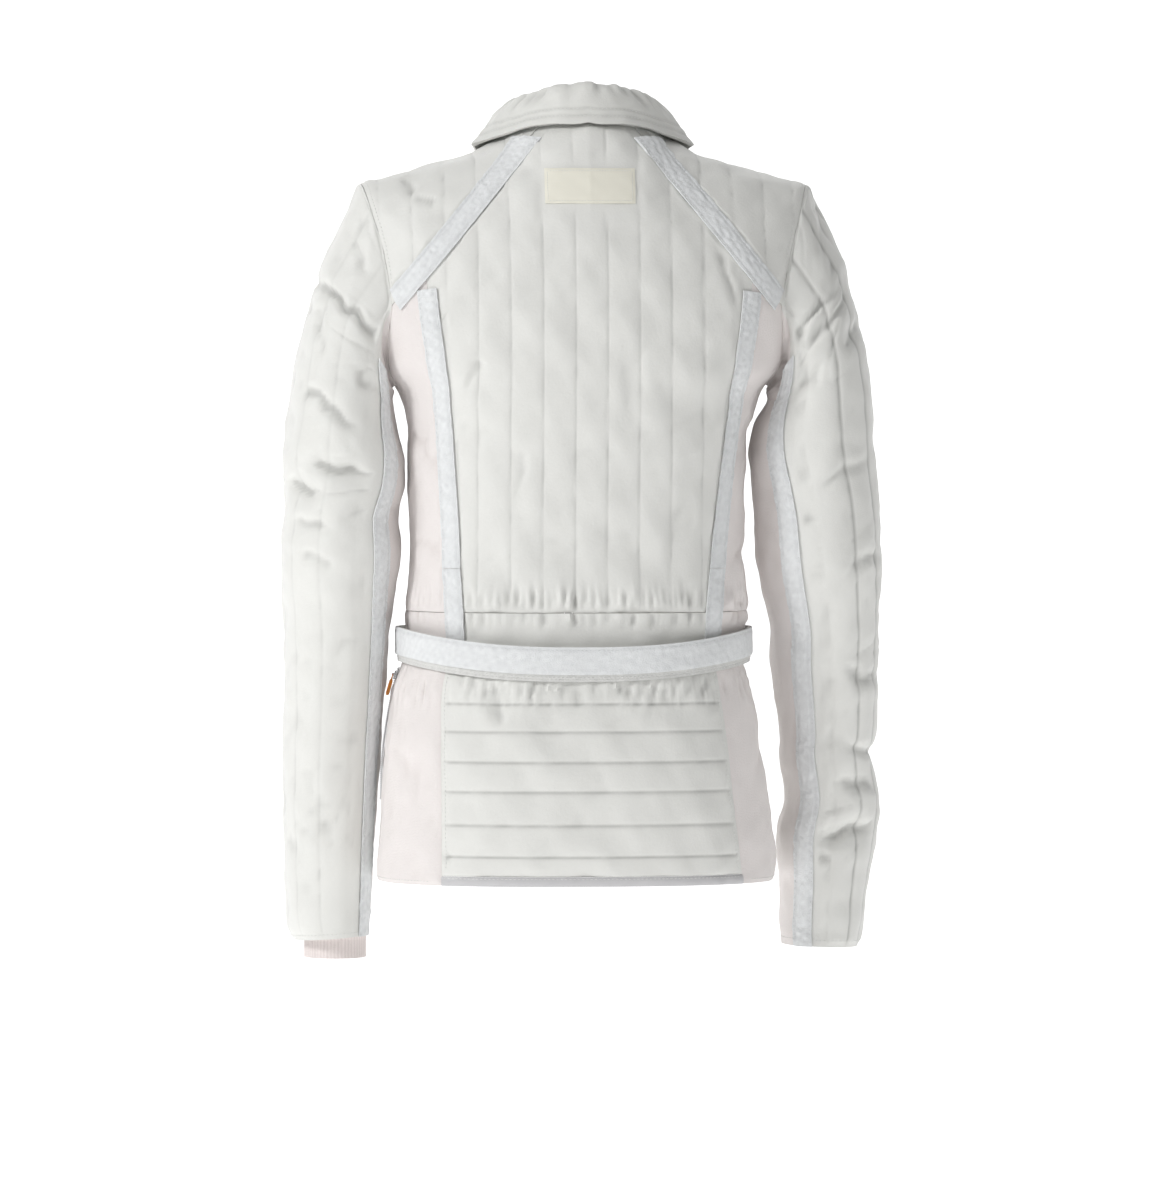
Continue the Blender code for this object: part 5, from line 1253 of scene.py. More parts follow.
def bend_to(turn, level, wanted, share, k):
    """A grid shifted so that its column k lies on the wanted line, by less away from it."""
    return (turn + (wanted[0] - turn[:, k])[:, None] * share,
            level + (wanted[1] - level[:, k])[:, None] * share)


make_back()
make_label()
for side in (1, -1):
    make_shoulder(side)

# %% [markdown]
# ## Sides and fronts
# The side panels are a single brushed knit under the arms. The fronts are hidden in the
# photograph, so they are finished plainly: quilted lengthways and closed by a zip.

# %% Sides and fronts
def make_side(side):
    """Plain side panel from the waist to the armhole, and back to the foot of the diagonal."""
    x_top, _ = seam_top(side)
    _, (x_end, _) = diagonal_ends(side)
    x_diag = blend(x_top, x_end, np.linspace(0, 1, 5)[:-1])
    z_diag = diagonal_z(side, x_diag)
    low = np.linspace(0.5, 1, ARMHOLE_CELLS // 2 + 1)
    turn_a, level_a = armhole(side, low)
    turn_b, level_b = armhole(side, low[-2:1:-1], front=True)
    top_turn = np.concatenate([turn_of(x_diag, z_diag), turn_a, turn_b])
    top_level = np.concatenate([level_of(x_diag, z_diag), level_a, level_b])
    top_z = height_of(top_turn, top_level)
    a, b = back_seam(side, top_z), front_seam(side, top_z)
    share_top = (top_turn - a) / (b - a)
    share_top[0] = 0.0
    v = np.array(BODY_SHARES)[:, None]
    share = blend(np.linspace(0, 1, len(top_z)), share_top, ease(v))
    z = blend(WAIST_Z, top_z, v)
    turn = blend(back_seam(side, z), front_seam(side, z), share)
    level = level_of(skin(turn, level_of(0.0, z))[..., 0], z)
    turn[-1], level[-1] = top_turn, top_level

    def relief(points, rows, cols):
        room = edge_fade(points) * clear_of(points, seam_lines(side))
        return soft_relief(points, SIDE_CREASES, room) + rim_dip(points, (0,)), 0.0

    cloth(f"side_{word(side)}", turn, level, "fleece", PITCH["side"], relief)


def front_top(side):
    """Turn and level of the top edge of a front, from the zip over the neck to the tip."""
    tip = abs(float(skin(*armhole(side, 0.0))[0]))
    neck = np.array([ZIP_WIDTH / 2 + SEAM_INSET, 0.016, 0.029, 0.041, 0.051, 0.059])
    ridge_x = side * np.linspace(NECK_HALF_WIDTH, tip, 7)
    turn, level = neck_at(side * neck, front=True)
    turn = np.concatenate([turn, -turn_of(ridge_x, ridge(ridge_x))])
    return (turn if side > 0 else turn + 2 * math.pi), np.append(level, np.ones(7))


def make_front(side):
    """Quilted front from the waist to the neck and the shoulder ridge."""
    top_turn, top_level = front_top(side)
    join = armhole(side, FRONT_JOIN_SHARE, front=True)
    low_z = blend(WAIST_Z, float(height_of(*join)), np.array(BODY_SHARES))
    share = (top_turn - top_turn[0]) / (top_turn[-1] - top_turn[0])
    low_z = np.broadcast_to(low_z[:, None], (len(low_z), len(share)))
    edge = side_front_edge(side, low_z[:, 0])
    low_turn = blend(front_edge(side, low_z), edge[:, None], share)
    low_x = skin(low_turn, level_of(0.0, low_z))[..., 0]
    low_level = level_of(low_x, low_z)
    low_level[-1, -1] = join[1]
    quarter = ARMHOLE_CELLS // 4
    shares = np.concatenate([np.linspace(FRONT_JOIN_SHARE, 0.5, quarter + 1)[1:],
                             np.linspace(0.5, 0, ARMHOLE_CELLS + 1)[1:]])
    v = np.linspace(0, 1, len(shares) + 1)[1:, None]
    high_turn = blend(low_turn[-1], top_turn, v)
    high_level = blend(low_level[-1], top_level, v)
    high_turn, high_level = bend_to(high_turn, high_level, armhole(side, shares, front=True),
                                    share[None, :] ** 4, -1)
    turn = np.concatenate([low_turn, high_turn])
    level = np.concatenate([low_level, high_level])

    def relief(points, rows, cols):
        room = edge_fade(points)
        share = cell_pillows(cols)
        height = CHANNEL * share * room + soft_relief(points, FRONT_CREASES, room)
        return height, channel_shade(share, room)

    face, normal = cloth(f"front_{word(side)}", turn, level, "quilted", PITCH["front"], relief)
    sew_edges("seam_stitches", face, normal, STITCH_IN["seam"], ("left", "right"))


def side_front_edge(side, z):
    """Turn of the front seam at heights up to the armhole, where it ends on the armhole itself."""
    join_turn, _ = armhole(side, FRONT_JOIN_SHARE, front=True)
    turn = front_seam(side, z)
    turn[-1] = join_turn
    return turn


for side in (1, -1):
    make_side(side)
    make_front(side)

# %% [markdown]
# ## Lower part
# Below the waist seam the back is quilted crossways, which stops it riding up, and ends in a
# narrow satin binding. The lower sides are plain knit and the lower fronts are quilted like the
# fronts above them.

# %% Lower back, sides, fronts and binding
def between_seams(turn_a, turn_b, z, columns):
    """Turns and heights of a grid between two seams, each given as a turn at every height."""
    turn = blend(turn_a[:, None], turn_b[:, None], np.linspace(0, 1, columns)[None, :])
    return turn, np.broadcast_to(np.array(z)[:, None], turn.shape)


def make_skirt_back():
    """Lower back, quilted crossways, above its binding."""
    z = list(SKIRT_ROWS[:3])
    for line in SKIRT_ROWS[3:-1]:
        z += [(z[-1] + line) / 2, line]
    turn, z = between_seams(back_seam(1, np.array(z)), back_seam(-1, np.array(z)), z, SKIRT_COLUMNS)

    def relief(points, rows, cols):
        room = edge_fade(points, axes=(1,))
        share = np.where(rows > 2, cell_pillows(rows - 2), 0.0)
        wander = 0.6 + 0.4 * ease((-0.470 - points[..., 2]) / 0.01)
        height = CHANNEL * share * room * wander + soft_relief(points, BACK_CREASES, room)
        return height, channel_shade(share, room) * ease((-0.462 - points[..., 2]) / 0.008)

    face, normal = cloth("skirt_back", turn, z - ARMPIT_Z, "quilted", PITCH["back"], relief)
    sew_edges("seam_stitches", face, normal, STITCH_IN["skirt"], ("left", "right"))


def make_binding():
    """Satin strip round the hem of the lower back."""
    z = np.array(SKIRT_ROWS[-2:])
    turn, z = between_seams(back_seam(1, z), back_seam(-1, z), z, SKIRT_COLUMNS)

    def relief(points, rows, cols):
        round_ = 0.0010 * np.sin(math.pi * rows) ** 0.7
        return round_ + 0.0002 * ripple(points, 0.012, 7), 0.0

    face, normal = cloth("hem_binding", turn, z - ARMPIT_Z, "binding", PITCH["binding"], relief,
                         inner=-WALL / 2 - BINDING_EXTRA, outer=WALL / 2 + BINDING_EXTRA)
    sew_edges("hem_stitches", face, normal, STITCH_IN["binding"], ("start",))


def make_skirt_side(side):
    """Lower side panel."""
    z = np.array(SKIRT_ROWS)
    turn, z = between_seams(back_seam(side, z), front_seam(side, z), z, SIDE_COLUMNS)

    def relief(points, rows, cols):
        room = edge_fade(points, axes=(1,))
        return soft_relief(points, SIDE_CREASES, room) + rim_dip(points), 0.0

    face, normal = cloth(f"skirt_side_{word(side)}", turn, z - ARMPIT_Z, "fleece", PITCH["side"],
                         relief)
    sew_edges("hem_stitches", face, normal, STITCH_IN["hem"], ("end",))


def make_skirt_front(side):
    """Lower front, quilted lengthways like the front above it."""
    z = np.array(SKIRT_ROWS)
    turn, z = between_seams(front_edge(side, z), front_seam(side, z), z, SKIRT_COLUMNS)

    def relief(points, rows, cols):
        room = edge_fade(points) * ease((-0.466 - points[..., 2]) / 0.010) * ease((9 - cols) / 1.0)
        share = cell_pillows(cols)
        height = CHANNEL * share * room + soft_relief(points, FRONT_CREASES, edge_fade(points))
        return height, channel_shade(share, room)

    face, normal = cloth(f"skirt_front_{word(side)}", turn, z - ARMPIT_Z, "quilted", PITCH["front"],
                         relief)
    sew_edges("hem_stitches", face, normal, STITCH_IN["hem"], ("end",))


make_skirt_back()
make_binding()
for side in (1, -1):
    make_skirt_side(side)
    make_skirt_front(side)

# %% [markdown]
# ## Tapes
# A pile tape is sewn over the side and diagonal seams and runs on down the sleeves. It lies on
# the cloth, so its form is the cloth's points moved out. Each edge has a row of stitches.

# %% Tapes
def seam_strip(turn, level, width, columns):
    """Turns and levels of a strip of a width along a seam given as one column."""
    speed = np.linalg.norm(skin(turn + STEP, level) - skin(turn - STEP, level), axis=-1) / (2 * STEP)
    off = np.linspace(-width / 2, width / 2, columns)[None, :]
    return turn[:, None] + off / speed[:, None], np.broadcast_to(level[:, None], (len(turn), columns))


def tape_relief(points, rows, cols):
    """A tape pulled in by its two rows of stitches, with small uneven puckers between, and painted shade
    along the stitch rows over a random tone.
    """
    across = cols / cols.max()
    held = near(across, 0.13, 0.07) + near(across, 0.87, 0.07)
    puckers = 0.00035 * ripple(points, 0.007, 21) + 0.00025 * ripple(points, 0.020, 22)
    edge = 0.0005 * (near(across, 0.0, 0.05) + near(across, 1.0, 0.05))
    height = 0.0004 - 0.0007 * held + puckers * (1 - 0.6 * held) - edge
    # Painted shade along the stitch rows, and a random tone
    return height, 0.20 * held + 0.10 * ripple(points, 0.006, 23)


TAPE_LIES = lying(WALL / 2 + TAPE_OFF, TAPE_WALL)


def stitch_tape(face, normal):
    """Rows of stitches along both edges of a tape."""
    sew_edges("tape_stitches", face, normal, STITCH_IN["tape"], ("left", "right"))


def make_side_tapes(side):
    """Tape over the back seam, in two lengths that meet at a lap above the waist."""
    _, z_top = seam_top(side)
    rows = blend(WAIST_Z, z_top, np.array(BODY_SHARES))
    end = z_top - SIDE_TAPE_DROP
    long_z = np.append(rows[1:][rows[1:] < end - 0.004], end)
    long_z[0] += SEAM_INSET
    short_z = np.array([TAPE_END_Z, WAIST_Z, rows[1] - SEAM_INSET])
    for name, z in ((f"tape_side_{word(side)}", long_z), (f"tape_waist_{word(side)}", short_z)):
        level = level_of(back_seam_x(side, z), z)
        turn, level = seam_strip(back_seam(side, z), level, TAPE_WIDTH, TAPE_COLUMNS)
        stitch_tape(*cloth(name, turn, level, "tape", PITCH["tape"], tape_relief, **TAPE_LIES))


def make_diagonal_tape(side):
    """Tape over the diagonal seam, from under the collar to the armhole."""
    (x0, z0), (x1, z1) = diagonal_ends(side)
    off = np.linspace(-0.5, 0.5, TAPE_COLUMNS)[None, :] * TAPE_WIDTH
    first = blend(0.035, 0.105, np.linspace(0, 1, TAPE_COLUMNS)[None, :])
    last = 0.972 - 0.02 * np.linspace(-1, 1, TAPE_COLUMNS)[None, :]
    down = np.linspace(0, 1, 17)[:, None]
    along = blend(first, last, down ** 1.3)
    length = math.hypot(x1 - x0, z1 - z0)
    x = x0 + along * (x1 - x0) - side * off * (z1 - z0) / length
    z = z0 + along * (z1 - z0) + side * off * (x1 - x0) / length

    def relief(points, rows, cols):
        height, shade = tape_relief(points, rows, cols)
        return height + UNDER_COLLAR_OFF * (1 - ease(rows / rows.max() / 0.25)), shade

    stitch_tape(*cloth(f"tape_diagonal_{word(side)}", turn_of(x, z), level_of(x, z), "tape",
                       PITCH["tape"], relief, **TAPE_LIES))


for side in (1, -1):
    make_side_tapes(side)
    make_diagonal_tape(side)

# %% [markdown]
# ## Sleeves and cuffs
# Each sleeve is a quilted outer piece and a plain knit under piece, joined at a back seam that
# the tape covers. The rings of the sleeve table give its bend. The elbow and armpit are pressed
# into folds, because the padding can't shorten there. The knit cuff is sewn inside the hem.

# %% Sleeves and cuffs
def arm_cloth(name, side, around, along, look, pitch, relief, inner=-WALL / 2, outer=WALL / 2,
              seams=(1,), held="folded"):
    """A piece on the sleeve form at a fine grid, with the largest folds pressed in."""
    around, along = np.broadcast_arrays(around, along)
    parts = parts_for(arm_plain(side, around, along), pitch)
    coarse = around.shape
    around, along = refine(around, parts), refine(along, parts)
    plain, normal = arm_plain(side, around, along), arm_normal(side, around, along)
    points = plain - normal * fold_depth(side, plain, around, along)[..., None]
    return padded(name, plain, inset(points, seams), normal, coarse, look, relief, inner, outer)


ARM_ROWS_NEAR, ARM_ROWS_NEXT, ARM_ROWS_FAR = (0.0, 0.5, 1.0, 1.2, 1.5, 2.0, 2.5), 3.1, 16
SLEEVE_TAPE_FIRST = ARM_ROWS_NEAR.index(RING_START)
CUFF_POINTS, CUFF_RIBS, CUFF_CELLS, CUFF_RIB_HEIGHT = 216, 54, 8, 0.0005


def arm_rows(side):
    """Row numbers from the armhole seam to the sleeve hem, closer near the armhole."""
    last = len(arm_table(side)) - 1
    return np.append(ARM_ROWS_NEAR, np.linspace(ARM_ROWS_NEXT, last, ARM_ROWS_FAR))[:, None]


def under_front(along):
    """Angle of the front seam of the sleeve."""
    return -blend(UNDER_FRONT_AT_ARMHOLE, UNDER_FRONT_DEGREES, ease(along / 2.5))


def arm_relief(side, points, room):
    """Creases and waves of a sleeve where there is room."""
    rows = ARM_CREASES_LEFT if side > 0 else ARM_CREASES_RIGHT
    patches = CRINKLES_LEFT if side > 0 else CRINKLES_RIGHT
    wave = WAVE * ripple(points, 0.038, CREASE_SEED + 7)
    wave = wave + 0.3 * WAVE * ripple(points, 0.020, CREASE_SEED + 8)
    return (wave - troughs(points, rows) - crinkles(points, patches)) * room


def make_sleeve(side):
    """Quilted outer sleeve, plain under sleeve and the tape over the back seam."""
    along = arm_rows(side)
    seam, front = arm_column(side, "seam", along), under_front(along)
    speed = np.linalg.norm(arm_plain(side, seam + 1, along) - arm_plain(side, seam - 1, along),
                           axis=-1) / 2
    cells = 2 * ARMHOLE_CELLS
    share = np.linspace(0, 1, cells + 1)[None, :]
    taped = np.append(np.linspace(0, 1, cells)[None, :] * (seam - front - UNDER_TAPE / speed),
                      seam - front, axis=1)
    around = front + blend(share * (seam - front), taped, ease(along / 2.0))

    def relief(points, rows, cols):
        ribs = np.where(cols < cells - 2, cell_pillows(cols, RIB_POWER), 0.0)
        room = edge_fade(points) * ease((rows - 0.5) / 2.0) * ease((cells - 1 - cols) / 0.5)
        clear = RIB_CLEARNESS[word(side)]
        open_ = edge_fade(points) * ease((cells - 1 - cols) / 0.6)
        height = clear * CHANNEL * ribs * room + arm_relief(side, points, open_)
        return height, clear * channel_shade(ribs, room * (cols < cells - 2))

    face, normal = arm_cloth(f"sleeve_{word(side)}", side, around, along, "quilted",
                             PITCH["sleeve"], relief)
    sew_edges("hem_stitches", face, normal, STITCH_IN["sleeve"], ("end",))
    around = blend(seam, 360 + front, np.linspace(0, 1, ARMHOLE_CELLS + 1)[None, :])

    def under_relief(points, rows, cols):
        room = edge_fade(points) * ease((cols - 0.25) / 1.0)
        return arm_relief(side, points, room), 0.0

    face, normal = arm_cloth(f"under_sleeve_{word(side)}", side, around, along, "fleece",
                             PITCH["under_sleeve"], under_relief)
    sew_edges("hem_stitches", face, normal, STITCH_IN["sleeve"], ("end",))
    along, seam, speed = (rows[SLEEVE_TAPE_FIRST:] for rows in (along, seam, speed))
    off = np.linspace(-TAPE_WIDTH / 2, TAPE_WIDTH / 2, TAPE_COLUMNS)[None, :]
    stitch_tape(*arm_cloth(f"tape_sleeve_{word(side)}", side, seam + off / speed, along, "tape",
                           PITCH["sleeve_tape"], tape_relief, **TAPE_LIES))


def make_cuff(row):
    """Knit cuff: sewn inside the sleeve near its hem and drawn in to the wrist below it, with
    ribs as the cosine of the angle times their number."""
    side, x, y, half_width, half_depth, end_z, first = row
    around = np.linspace(0, 360, CUFF_POINTS, endpoint=False)[None, :]
    top = arm_plain(side, around, first)[0]
    top = top - arm_normal(side, around, first)[0] * (WALL / 2 + CUFF_IN + CUFF_WALL / 2)
    ring = np.stack([x + side * half_width * np.cos(np.radians(around[0])),
                     y + half_depth * np.sin(np.radians(around[0])), np.full(CUFF_POINTS, end_z)], -1)
    neck = ring.copy()
    neck[:, 2] = blend(top[:, 2].mean(), end_z, 0.5)
    rows = np.stack([top, blend(top, neck, 0.7), neck, ring])
    at = np.linspace(0, 3, 3 * CUFF_CELLS + 1)
    low = np.minimum(at.astype(int), 2)
    points = blend(rows[low], rows[low + 1], (at - low)[:, None, None])
    out = unit((points - points.mean(1, keepdims=True)) * np.array([1.0, 1.0, 0.0]))
    ribs = 0.5 - 0.5 * np.cos(np.radians(around) * CUFF_RIBS)
    height = (CUFF_RIB_HEIGHT * ribs * ease(at)[:, None])[..., None]
    face, lining = points + out * (CUFF_WALL / 2 + height), points - out * CUFF_WALL / 2
    name = f"cuff_{word(side)}"
    # Painted shade in the hollows between the ribs
    obj = shell(name, face, lining, looks["cuff"], round_=True, nodes=(name,),
                shade=np.broadcast_to(0.35 * (1 - ribs), face.shape[:2]))
    loop = np.concatenate([points, points[:, :1]], 1)
    declare(loop)


for side in (1, -1):
    make_sleeve(side)
for row in CUFF_ROWS:
    make_cuff(row)

# %% [markdown]
# ## Belt
# The belt is a strip of tape on a slightly wider cotton backing. It stands a little off the
# cloth, which gives the shadow below it. A row of stitches runs along the top edge of the face
# and two rows along the lower edge of the backing.

# %% Belt
BELT_COLUMNS, BELT_CELLS = 481, 16
FACE_STITCH_IN, BACKING_STITCHES_IN = 0.0024, (0.0018, 0.0040)


def make_belt():
    """Belt round the waist with its ends beside the front zip: a backing and a narrower face."""
    z_mid = BELT_TOP_Z - BELT_BACKING_HEIGHT / 2
    start = -float(turn_of(body_size("centre", z_mid) + BELT_GAP_X, z_mid))
    turn = np.linspace(start, math.pi - start, BELT_COLUMNS)[None, :]
    sag = BELT_SAG * np.maximum(np.sin(turn), 0) ** 2
    low = BELT_OFF
    for name, height, look in (("belt_backing", BELT_BACKING_HEIGHT, "belt"),
                               ("belt_face", BELT_FACE_HEIGHT, "tape")):
        down = np.linspace(0, height, BELT_CELLS + 1)[:, None]
        z = BELT_TOP_Z - sag - down
        body = skin(turn, z_mid - ARMPIT_Z - sag)
        out = skin_normal(turn, z_mid - ARMPIT_Z - sag)
        out = unit(out * np.array([1.0, 1.0, 0.0]))
        ring = np.broadcast_to(body + out * BELT_ROOM, z.shape + (3,)).copy()
        ring[..., 2] = z
        out = np.broadcast_to(out, ring.shape)
        wave = 0.00035 * ripple(ring, 0.030, 31) + 0.00015 * ripple(ring, 0.008, 32)
        stitched, sewn_at, group = near(down, FACE_STITCH_IN, 0.0012), (FACE_STITCH_IN,), "tape_stitches"
        if name == "belt_backing":
            sewn_at, group = [height - off for off in BACKING_STITCHES_IN], "seam_stitches"
            wave, stitched = 0.3 * wave, near(down, sewn_at[0], 0.0010)
        rim = near(down, 0.0, 0.0010) + near(down, height, 0.0010)
        lift = (wave - 0.00045 * stitched - 0.0004 * rim)[..., None]
        face = ring + out * (low + BELT_WALL + np.maximum(lift, -0.0006))
        lining = ring + out * low
        # Painted shade along the stitched groove, and a random tone
        shade = 0.25 * stitched + 0.10 * ripple(ring, 0.006, 33)
        obj = shell(name, face, lining, looks[look], nodes=(name,), shade=shade)
        declare((face + lining) / 2)
        for depth in sewn_at:
            r = round(depth / height * BELT_CELLS)
            sew(group, face[r], out[r])
        low += BELT_WALL + ON_CLOTH


make_belt()

# %% [markdown]
# ## Collar
# The padded collar turns down over the neck seam. Its fall is a curve of second degree from the
# roll line to the edge. Padding that turns so tightly puckers on the roll line, and the edge has
# a bead and two rows of stitches. It is a padded piece, but thin, so its form is given directly.

# %% Collar
COLLAR_COLUMNS, FALL_CELLS, STAND_CELLS, FALL_STITCH_ROWS = 321, 40, 20, (36, 32)


def roll_size(key):
    """A size of the collar's roll line."""
    return COLLAR_ROW[COLLAR_NAMES.index(key)]


def collar_ring(beta):
    """Roll line of the collar at an angle, back half above the front half."""
    half_width, back_y, front_y = roll_size("half_width"), roll_size("back_y"), roll_size("front_y")
    s, c = np.sin(beta), np.cos(beta)
    y = np.where(s > 0, back_y * s, -front_y * s)
    z = blend(roll_size("side_z"), np.where(s > 0, roll_size("back_z"), roll_size("front_z")), s * s)
    return np.stack([half_width * c, y, z], -1)


def make_collar():
    """Turn-down collar: a padded fall from the roll line over the neck seam, and the stand
    inside it, from the neck seam to just under the roll line."""
    start = -math.acos(COLLAR_OPEN_X / roll_size("half_width"))
    beta = np.linspace(start, math.pi - start, COLLAR_COLUMNS)
    roll = collar_ring(beta)
    flat = np.stack([np.cos(beta), np.sin(beta), np.zeros_like(beta)], -1)
    edge = round_neck(beta, FALL_EDGE_HALF_WIDTH, FALL_EDGE_BACK_Y, FALL_EDGE_FRONT_Y, 2.0)
    edge = skin(*edge) + skin_normal(*edge) * FALL_OFF
    a = roll - flat * FALL_START_IN
    b = roll + flat * FALL_BULGE_OUT + np.array([0, 0, FALL_BULGE_UP])
    t = np.linspace(0, 1, FALL_CELLS + 1)[:, None, None]
    fall = a * (1 - t) ** 2 + b * 2 * t * (1 - t) + edge * t * t
    out = unit(np.cross(np.gradient(fall, axis=0), np.gradient(fall, axis=1)))
    out = out * np.sign((out[FALL_CELLS // 2] * flat).sum(-1).mean())
    share = t[..., 0]
    long = np.linalg.norm(np.diff(roll, axis=0), axis=-1).sum()
    around = np.linspace(0, long, len(beta))[None, :]
    strips = np.stack([np.broadcast_to(around, fall.shape[:2]), 0.010 * share + 0 * around,
                       np.zeros(fall.shape[:2])], -1)
    folds = ripple(strips, 0.0160, 41) * near(share, 0.34, 0.26)
    lines = near(share, 0.90, 0.022) + near(share, 0.80, 0.022)
    bead = near(share, 0.975, 0.030)
    ends = ease(around / 0.006) * ease((long - around) / 0.006)
    pad = 0.0006 * np.sin(math.pi * np.clip(share / 0.8, 0, 1)) ** 0.7
    height = (pad - 0.0006 * lines + 0.0005 * bead + 0.0022 * np.minimum(folds, 0.30)
              + 0.0004 * ripple(fall, 0.022, 42)) * ends
    face = fall + out * (FALL_WALL / 2 + height)[..., None]
    lining = fall - out * FALL_WALL / 2
    # Painted shade on the stitch lines and in the hollows of the folds
    shade = 0.30 * lines + 0.45 * np.clip(-folds - 0.2, 0, 1)
    obj = shell("collar_fall", face, lining, looks["collar"], nodes=("collar_fall",),
                shade=shade * ends)
    declare((face + lining) / 2)
    for r in FALL_STITCH_ROWS:
        sew("collar_stitches", face[r], out[r])
    neck = round_neck(beta, NECK_HALF_WIDTH, NECK_BACK_Y, NECK_FRONT_Y)
    foot, foot_out = skin(*neck), skin_normal(*neck)
    up = out[0] * np.sign(out[0][:, 2:3])
    top = roll - up * (FALL_WALL / 2 + ROLL_GAP)
    foot = foot + unit(top - foot) * np.where(beta < 0, FRONT_FOOT_GAP, BACK_FOOT_GAP)[:, None]
    v = np.linspace(0, 1, STAND_CELLS + 1)[:, None, None]
    points = blend(foot, top, v)
    out = unit(blend(foot_out, flat, ease(2.5 * v)))
    soft = (0.0003 * ripple(points, 0.018, 43) * np.sin(math.pi * v[..., 0]))[..., None]
    face, lining = points + out * STAND_WALL / 2, points - out * (STAND_WALL / 2 + soft)
    obj = shell("collar_stand", face, lining, looks["collar"], nodes=("collar_stand",))
    declare((face + lining) / 2)


make_collar()

# %% [markdown]
# ## Zips
# The front closes with a zip, which the photograph hides. The pocket zip lies in the left front
# seam, where its orange tab shows. A chain is two woven tapes with a row of teeth between. The
# sliders and pull tabs are hard parts, so they are the CAD's own, with a cast metal or a
# moulded look.

# %% Zips, sliders and sewing
def make_zips():
    """Closed chain of the front zip between the fronts, and the pocket zip on the left seam."""
    z = np.concatenate([np.linspace(HEM_Z, WAIST_Z, 9)[:-1], np.linspace(WAIST_Z, FRONT_ZIP_TOP_Z, 14)])
    middle = body_size("centre", z)[:, None]
    x = middle + np.linspace(-0.5, 0.5, ZIP_COLUMNS)[None, :] * (ZIP_WIDTH - 4 * SEAM_INSET)
    z = np.broadcast_to(z[:, None], x.shape)
    grids = [("front_zip", -turn_of(x, z), level_of(x, z), -ZIP_WALL / 2)]
    z = np.linspace(POCKET_ZIP_BOTTOM_Z, POCKET_ZIP_TOP_Z, 6)
    turn, level = seam_strip(front_seam(1, z), z - ARMPIT_Z, ZIP_WIDTH, ZIP_COLUMNS)
    grids.append(("pocket_zip", turn, level, WALL / 2 + ON_CLOTH))

    def relief(points, rows, cols):
        # Painted shade along the middle, under the teeth
        return 0.0001 * np.cos(math.pi * (cols - 1)), 0.5 * near(cols, 1.0, 0.25)

    for name, turn, level, low in grids:
        face, normal = cloth(name, turn, level, "zip", PITCH["zip"], relief, **lying(low, ZIP_WALL))
        middle = face.shape[1] // 2
        sew("teeth", face[:, middle], normal[:, middle], length=0.0011, gap=0.0007,
            radius=0.0016, flat=0.28)


def finish_sewing(group, look):
    """One piece of all the stitches or teeth of a group."""
    verts, faces = zip(*sewing[group])
    starts = np.cumsum([0] + [len(v) for v in verts])
    faces = np.concatenate([f + start for f, start in zip(faces, starts)])
    verts = np.concatenate(verts)
    mesh_piece(group, verts, faces, verts[:, [0, 2]], looks[look])


make_zips()
for group, look in (("tape_stitches", "tape_thread"), ("seam_stitches", "thread"),
                    ("collar_stitches", "thread"), ("hem_stitches", "thread"),
                    ("label_stitches", "thread"), ("teeth", "teeth")):
    finish_sewing(group, look)
for name, look in (("front_slider", "metal"), ("pocket_slider", "metal"), ("front_pull", "pull"),
                   ("pocket_pull", "orange")):
    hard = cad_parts[name]
    hard.data.materials.clear()
    hard.data.materials.append(looks[look])

# %% [markdown]
# ## Stage, light and camera
# The photograph is a catalogue picture: a white ground, one large soft light from the left front
# of the camera, a weaker one from the right, and a bright surround. The camera looks at the back
# from just beside its middle.

# %% Stage, light and camera
FLOOR_Z, CAMERA_AZIMUTH, CAMERA_RISE, CAMERA_FAR = -0.95, 176.0, 1.5, 7.0
TARGET, PHOTO_LONG_SIDE = (0.0022, 0.0, -0.396), 1.056
WORLD_LIGHT, FLOOR_GLOW = 0.26, 0.62
# Columns: name, place, size, power
LAMPS = (
    ("key", (2.9, 1.7, 1.6), 0.8, 66.0),
    ("fill", (-0.4, 3.4, 0.2), 2.0, 7.0),
    ("top", (0.0, 0.4, 2.4), 1.8, 12.0),
    ("front", (0.4, -2.6, 0.8), 2.0, 10.0),
)
FLOOR_WIDE, FLOOR_LONG, FLOOR_COLUMNS, FLOOR_ROWS = 4.0, 5.0, 41, 81
FLOOR_BEND, FLOOR_FLAT, WALL_TOP = 1.2, 1.5, 6.0


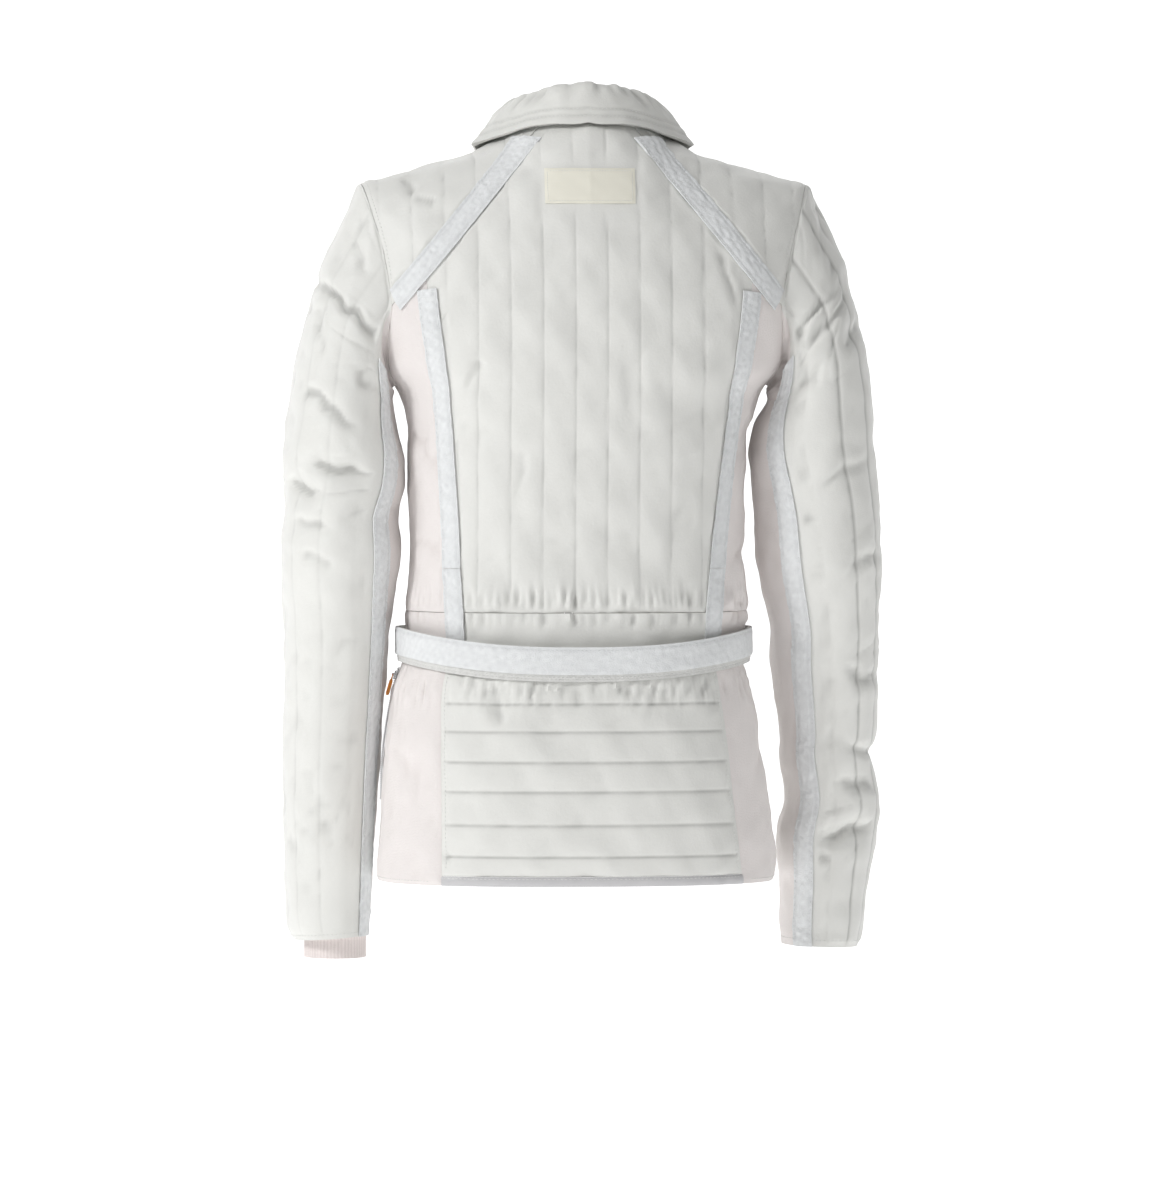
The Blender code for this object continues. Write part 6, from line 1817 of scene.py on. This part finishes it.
def make_stage():
    """White floor that curves up into a wall beyond the jacket."""
    u = np.linspace(-FLOOR_WIDE, FLOOR_WIDE, FLOOR_COLUMNS)[None, :]
    v = np.linspace(-FLOOR_LONG, FLOOR_LONG, FLOOR_ROWS)[:, None]
    rise = FLOOR_BEND * np.maximum(-v - FLOOR_FLAT, 0) ** 2
    points = np.stack(np.broadcast_arrays(u, v, FLOOR_Z + np.minimum(rise, WALL_TOP)), -1)
    faces = quads_of(np.arange(FLOOR_ROWS * FLOOR_COLUMNS).reshape(FLOOR_ROWS, FLOOR_COLUMNS))
    mesh = bpy.data.meshes.new("floor")
    mesh.from_pydata(points.reshape(-1, 3).tolist(), [], faces.tolist())
    mesh.polygons.foreach_set("use_smooth", np.ones(len(faces), bool))
    material = bpy.data.materials.new("floor")
    material.use_nodes = True
    tree = material.node_tree
    shader = tree.nodes["Principled BSDF"]
    shader.inputs["Roughness"].default_value = 0.9
    shader.inputs["Emission Color"].default_value = (1.0, 1.0, 1.0, 1.0)
    shader.inputs["Emission Strength"].default_value = FLOOR_GLOW
    noise = node(tree, "ShaderNodeTexNoise", Scale=3.0)
    ramp = node(tree, "ShaderNodeValToRGB")
    ramp.color_ramp.elements[0].color = (0.90, 0.90, 0.90, 1)
    ramp.color_ramp.elements[1].color = (0.93, 0.93, 0.93, 1)
    link(tree, noise.outputs["Fac"], ramp.inputs["Fac"])
    link(tree, ramp.outputs["Color"], shader.inputs["Base Color"])
    mesh.materials.append(material)
    floor = bpy.data.objects.new("floor", mesh)
    bpy.context.scene.collection.objects.link(floor)


def lamp(name, place, size, power, aim=(0, 0, -0.35)):
    """A square soft light that faces a point."""
    data = bpy.data.lights.new(name, "AREA")
    data.size, data.energy = size, power
    obj = bpy.data.objects.new(name, data)
    obj.location = place
    obj.rotation_euler = (Vector(aim) - Vector(place)).to_track_quat("-Z", "Y").to_euler()
    bpy.context.scene.collection.objects.link(obj)


def make_camera():
    """Camera on its line, with a lens that makes the photograph's long side cover its length."""
    turn, rise = math.radians(CAMERA_AZIMUTH), math.radians(CAMERA_RISE)
    back = Vector((math.sin(turn) * math.cos(rise), -math.cos(turn) * math.cos(rise), math.sin(rise)))
    data = bpy.data.cameras.new("camera")
    data.sensor_fit, data.sensor_height, data.sensor_width = "VERTICAL", 36.0, 36.0
    data.lens = 36.0 * CAMERA_FAR / PHOTO_LONG_SIDE
    data.clip_end = 50.0
    obj = bpy.data.objects.new("camera", data)
    obj.location = Vector(TARGET) + back * CAMERA_FAR
    obj.rotation_euler = back.to_track_quat("Z", "Y").to_euler()
    bpy.context.scene.collection.objects.link(obj)
    bpy.context.scene.camera = obj


make_stage()
for row in LAMPS:
    lamp(*row)
world = bpy.data.worlds.new("surround")
world.use_nodes = True
world.node_tree.nodes["Background"].inputs["Color"].default_value = (1.0, 1.0, 1.0, 1.0)
world.node_tree.nodes["Background"].inputs["Strength"].default_value = WORLD_LIGHT
bpy.context.scene.world = world
bpy.context.scene.view_settings.view_transform = "Standard"
make_camera()
